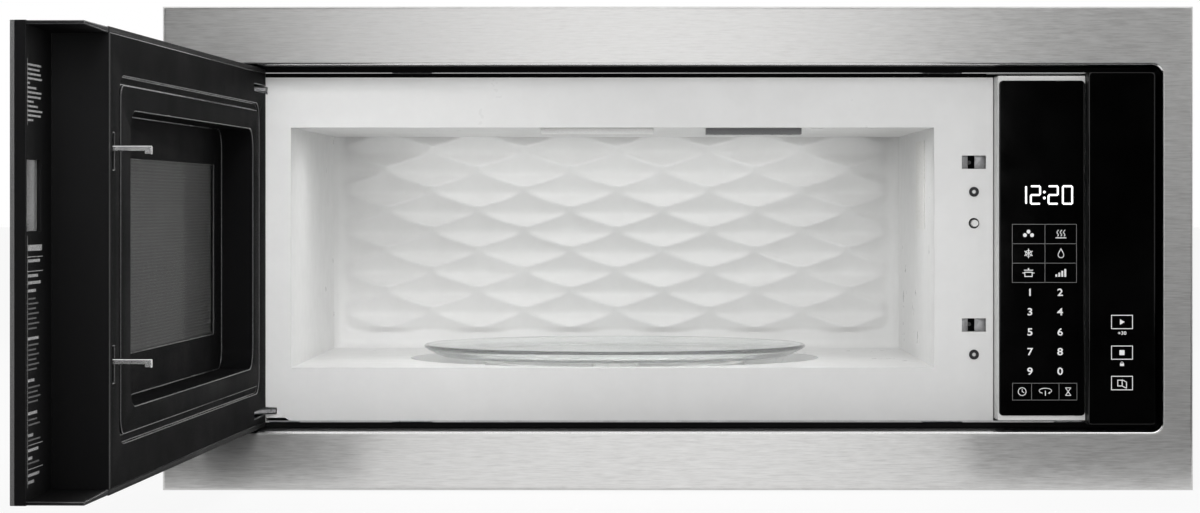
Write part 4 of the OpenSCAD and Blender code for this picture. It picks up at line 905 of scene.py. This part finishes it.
glass_plate("side_touch_panel", 0.0025, 0.0008, "side_glass")
glass_plate("keypad_panel", 0.003, 0.0004, "keypad_glass")
strip_face, strip_x, key_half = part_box("side_touch_panel")[0][1] - ink_lift, 326.9, 8.0
drawn = []
for foot, head in ((-59.4, -49.0), (-81.9, -71.6), (-104.4, -93.9)):
    drawn += outline(strip_x - key_half, foot, strip_x + key_half, head, 0.55)
drawn.append(disc(strip_x - 0.3, -54.2, 2.4, 3, math.radians(30)))
drawn.append(bar(strip_x - 1.9, -78.6, strip_x + 1.9, -74.9, 0.4))
drawn += outline(strip_x - 3.4, -101.6, strip_x + 0.4, -96.7, 0.6)
drawn += stroke([(strip_x + 0.4, -96.9), (strip_x + 3.3, -98.4), (strip_x + 3.3, -103.0),
                 (strip_x + 0.4, -101.5)], 0.6)
printed(drawn, strip_face, "touch_key_print", ink)
drawn = [figure("+30", strip_x, -62.5, 2.6), bar(strip_x - 1.5, -86.6, strip_x + 1.5, -84.7, 0.2)]
drawn += stroke(round_points(strip_x, -84.8, 1.0, 0, 180, 10, 1.2), 0.45)
printed(drawn, strip_face, "touch_key_notes", ink)


# Latch side: a moulded bracket behind the front plate holds the two interlock switches with
# their plungers, and the sprung pin that tells and helps the door open.
paint(white_plastic, "latch_bracket")
paint(black_plastic, "interlock_switches")
paint(grey_plastic, "switch_plungers")
paint(zinc, "door_opener_motor")
paint(white_plastic, "door_opener_pin")


# Catch plates: under each slot of the front plate a zinc plated sheet stops the fingers and
# stiffens the slot. It is cut open where the hook passes, and its upper corners are notched.
catch_top, catch_foot, catch_face, catch_sheet = 0.0064, -0.0049, 0.0302, 0.0008
slot_x, slot_half, catch_notch = 0.2222, 0.01, 0.0031
catches = []
for slot_z in (0.064, -0.058):
    for left, right in ((0.2113, 0.2180), (0.2230, 0.2331)):
        catches.append(block((left, catch_face, slot_z + catch_foot),
                             (right, catch_face + catch_sheet, slot_z + catch_top)))
        edit()
        pick(catches[-1], lambda m, n: abs(n.y) > 0.9 and m.z > slot_z
             and abs(m.x - slot_x) > slot_half)
        bpy.ops.mesh.bevel(offset=catch_notch, segments=1)
        leave_edit()
catch = joined(catches)
modify(catch, "BEVEL", width=0.0002, segments=2, limit_method="ANGLE")
catch_steel = plated("catch_steel", (0.42, 0.42, 0.43), (0.55, 0.55, 0.56), 0.5, 400.0)
finish_piece(catch, "slot_catch_plates", catch_steel, smooth=35)

# Pin seal: a thin moulded rubber ring, pushed into the front plate's hole around the opener pin.
# Its black ring is painted shade: it stands for the shadow in the narrow gap round the pin.
bpy.ops.mesh.primitive_torus_add(major_radius=0.0034, minor_radius=0.00055, major_segments=40,
                                 minor_segments=10, location=(slot_x, 0.0258, 0.0183),
                                 rotation=upright)
seal = bpy.context.object
seal.scale = (1, 1, 0.6)
apply_place()
finish_piece(seal, "pin_shadow_ring", rubber, smooth=60)


# Hinges: two stamped and plated steel leaves, bolted behind the front plate. They reach out of
# its sunk pocket, and the door hangs on their two pins.
hinge_steel = plated("hinge_steel", (0.42, 0.42, 0.43), (0.58, 0.58, 0.59), 0.32, 500.0)
paint(hinge_steel, "upper_hinge", "lower_hinge", "hinge_pins")


# Door: a moulded black case with a glass front that reaches past it as a thin flange, a pressed
# steel pan inside, and a choke cover at the back whose groove and deep well frame the window.
case_plastic = coated("door_case_plastic", (0.0022, 0.0022, 0.0024), (0.0042, 0.0042, 0.0044),
                      0.5, 2600, 0.2, specular=0.12)
cover_plastic = coated("inner_cover_plastic", (0.0036, 0.0036, 0.0038), (0.0062, 0.0062, 0.0065),
                       0.55, 2600, 0.25, specular=0.01)
# The edge plastic is glossier and lighter than the case and the cover; its lighter colour is a
# painted highlight along the rounded edges.
edge_highlight_plastic = coated("edge_plastic_painted_highlight", (0.022, 0.022, 0.023), (0.040, 0.040, 0.041), 0.25,
                      2600, 0.05, specular=0.8)
sharp = math.radians(50)


def softened(node_name, name, material, body, width, edge=None):
    """A copy of a CAD node whose loose faces are joined and whose sharp edges are rounded, with
    a glossier finish on the rounded edges, whose lighter colour is a painted highlight."""
    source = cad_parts[node_name]
    piece = source.copy()
    piece.data = source.data.copy()
    bpy.context.collection.objects.link(piece)
    piece.modifiers.clear()
    only(piece)
    edit()
    bpy.ops.mesh.remove_doubles(threshold=2e-6)
    bpy.ops.mesh.dissolve_limited(angle_limit=math.radians(1.0))
    leave_edit()
    bpy.ops.object.shade_smooth_by_angle(angle=sharp)
    if edge:
        wear(piece, material, edge)
    modify(piece, "BEVEL", width=width, segments=2, limit_method="ANGLE", angle_limit=sharp,
           material=1 if edge else -1)
    edges = [face.material_index == 1 for face in piece.data.polygons]
    finish_piece(piece, name, material, body, 32)
    if edge:
        piece.data.materials.append(edge)
        piece.data.polygons.foreach_set("material_index", edges)
    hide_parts(node_name)
    return piece


pivot_x, door_swing = -0.333, math.radians(-92)


def swung_open(piece):
    """Turns a piece built in the shut door about the hinge pins to where the door rests, open."""
    cosine, sine = math.cos(door_swing), math.sin(door_swing)
    for vertex in piece.data.vertices:
        across, along = vertex.co.x - pivot_x, vertex.co.y
        vertex.co.x = pivot_x + cosine * across - sine * along
        vertex.co.y = sine * across + cosine * along
    return piece


softened("door_case", "door_shell", case_plastic, "door", 0.0009, edge_highlight_plastic)
softened("choke_cover", "door_inner_cover", cover_plastic, "door", 0.0006,
         edge_highlight_plastic)

# Grip pocket: the case's end walls run on over the flange, above and below the keypad, so that
# the latch side of the door is a shallow pocket. They thicken towards the door's box.
pocket_start, pocket_end, pocket_front, pocket_back = 0.2335, 0.2993, -0.0090, 0.0243
pocket_outer, pocket_inner, pocket_draft = 0.1331, 0.1309, 0.0014
walls = []
for side in (1, -1):
    low_z, high_z = sorted((side * pocket_inner, side * pocket_outer))
    wall = block((pocket_start, pocket_front, low_z), (pocket_end, pocket_back, high_z))
    edit()
    pick(wall, lambda m, n: abs(m.z) < pocket_inner + 1e-5 and m.x < pocket_start + 1e-5
         and abs(n.y) > 0.9)
    bpy.ops.transform.translate(value=(0, 0, -side * pocket_draft))
    leave_edit()
    # Their rounded edges take the edge plastic, whose lighter colour is a painted highlight.
    wear(wall, case_plastic, edge_highlight_plastic)
    round_edges(0.0007, finish_slot=1)
    walls.append(wall)
finish_piece(swung_open(joined(walls)), "grip_pocket_walls", None, "door", 40)
paint(black_coat, "door_pan")

# Door glass: tempered and printed black at the back, its ground edge a dull grey. The clock
# shows through a clear window in the print, over which a smoked pane is glued.
door_black = finish("door_glass_black", haze, (9,), (0.003, 0.006), 0.06, 0.5, (0.2, 0.9))
glass_front = softened("door_glass", "door_front_glass", door_black, "door",
                       0.00035)
ground_edge = finish("ground_glass_edge", grain, (1500,), (0.07, 0.10), 0.5)
glass_front.data.materials.append(ground_edge)
for face in glass_front.data.polygons:
    if abs(face.normal.x) < 0.9:
        face.material_index = 1
smoked = finish("smoked_pane", haze, (30,), (0.48, 0.55), 0.04, 0.3, Transmission_Weight=1,
                IOR=1.2)
paint(smoked, "clock_window")

# Clock lens: a frosted step moulded on the clock's window pane. It fills its hole in the flange
# from behind and softens the light of the figures.
pane = block((0.2622, -0.01435, 0.0172), (0.2978, -0.0106, 0.0568))
round_edges(0.0004)
frosted = finish("frosted_pane", grain, (1800,), (0.80, 0.88), 0.3, Transmission_Weight=0.94,
                 IOR=1.45)
finish_piece(swung_open(pane), "clock_lens", frosted, "door", 40)

# Care labels: two printed labels on the flange, hidden while the door is shut. Their lines are
# plain grey bars, long and short, with thin rules between their parts.
label_face, label_edge, line_pitch = -0.00814, 296.2, 2.55
label_high, label_zero, label_steps = 31.1, 206, 1.82  # a height, its step and steps a millimetre


def label_bar(inner, outer, middle, half):
    """A bar of the lower label: its ends as distances from the label's edge, its middle as steps
    of a fine scale down the flange, and half its height."""
    z = label_high - (middle - label_zero) / label_steps
    return bar(label_edge - inner, z - half, label_edge - outer, z + half)


drawn = [bar(label_edge - 0.3, 75.6, label_edge + 0.2, 112.6)]
for step, long in enumerate((34, 30, 33, 36, 6, 22, 35, 33, 15, 26, 37, 33, 14)):
    drawn.append(bar(label_edge - long, 108.6 - line_pitch * step, label_edge - 0.6,
                     109.7 - line_pitch * step))
drawn += [label_bar(0.3, -0.2, 362, 126 / label_steps), label_bar(36, 1.5, 248, 3 / label_steps)]
drawn += [label_bar(38, 0.5, y, 0.2) for y in (257, 271.5, 446, 470)]
drawn += [label_bar(long, 1.5, y, 0.8) for y, long in (
    (261, 31), (276, 26), (283, 33), (291, 21), (339, 28), (381, 17), (414, 24), (436, 14),
    (451, 27), (459, 12), (476, 29), (483, 16))]
dim = []
for start, count, pitch in ((299, 7, 5), (345.5, 6, 4.9), (388, 4, 4.9), (420.5, 2, 5), (441, 1, 5),
                            (464, 1, 5)):
    dim += [label_bar(20 + (step * 7 + int(start)) % 13, 2, start + pitch * step, 0.45)
            for step in range(count)]
label_ink = finish("label_ink", grain, (1200,), (0.22, 0.85), 0.6, stops=(0.1, 0.9))
swung_open(printed(drawn, label_face, "care_label_print", label_ink, "door", 1))
swung_open(printed(dim, label_face, "care_label_small_print", grey_ink, "door", 1))


# Window: a punched steel screen stops the microwaves, and a clear film keeps it clean. The holes
# are short slots in rows two millimetres apart.
hole_pitch = 0.0021
screen_steel, tree, shader = fresh("punched_screen", Specular_IOR_Level=0.08)
spot = spot_of(tree, 92)
waves = [calc(tree, "COSINE", calc(tree, "MULTIPLY", spot[k], 2 * math.pi / hole_pitch * stretch))
         for k, stretch in ((0, 0.5), (2, 1.0))]
open_share = spread(tree, calc(tree, "ADD", *waves), (-0.5, 0.5))
tree.links.new(ramp(tree, open_share, (0.3, 0.008), (0.7, 0.062)), shader.inputs["Base Color"])
tree.links.new(calc(tree, "MULTIPLY_ADD", open_share, 0.1, 0.45), shader.inputs["Roughness"])
bump(tree, shader, open_share, 0.4, 0.0004)
paint(screen_steel, "door_screen")
film = finish("clear_film", haze, (22,), (0.93, 0.97), 0.06, 0.5, Transmission_Weight=1,
              IOR=1.012)
paint(film, "inner_window")


# Latch: one plated lever slides in the door, drawn down by a coil spring, and its two hooks reach
# out through the inner cover into the slots of the front plate.
chrome = finish("polished_plating", haze, (80,), (0.72, 0.86), 0.22, 0.6, Metallic=1)
softened("latch_lever", "hook_lever", chrome, "latch", 0.00035)
paint(zinc, "latch_spring")
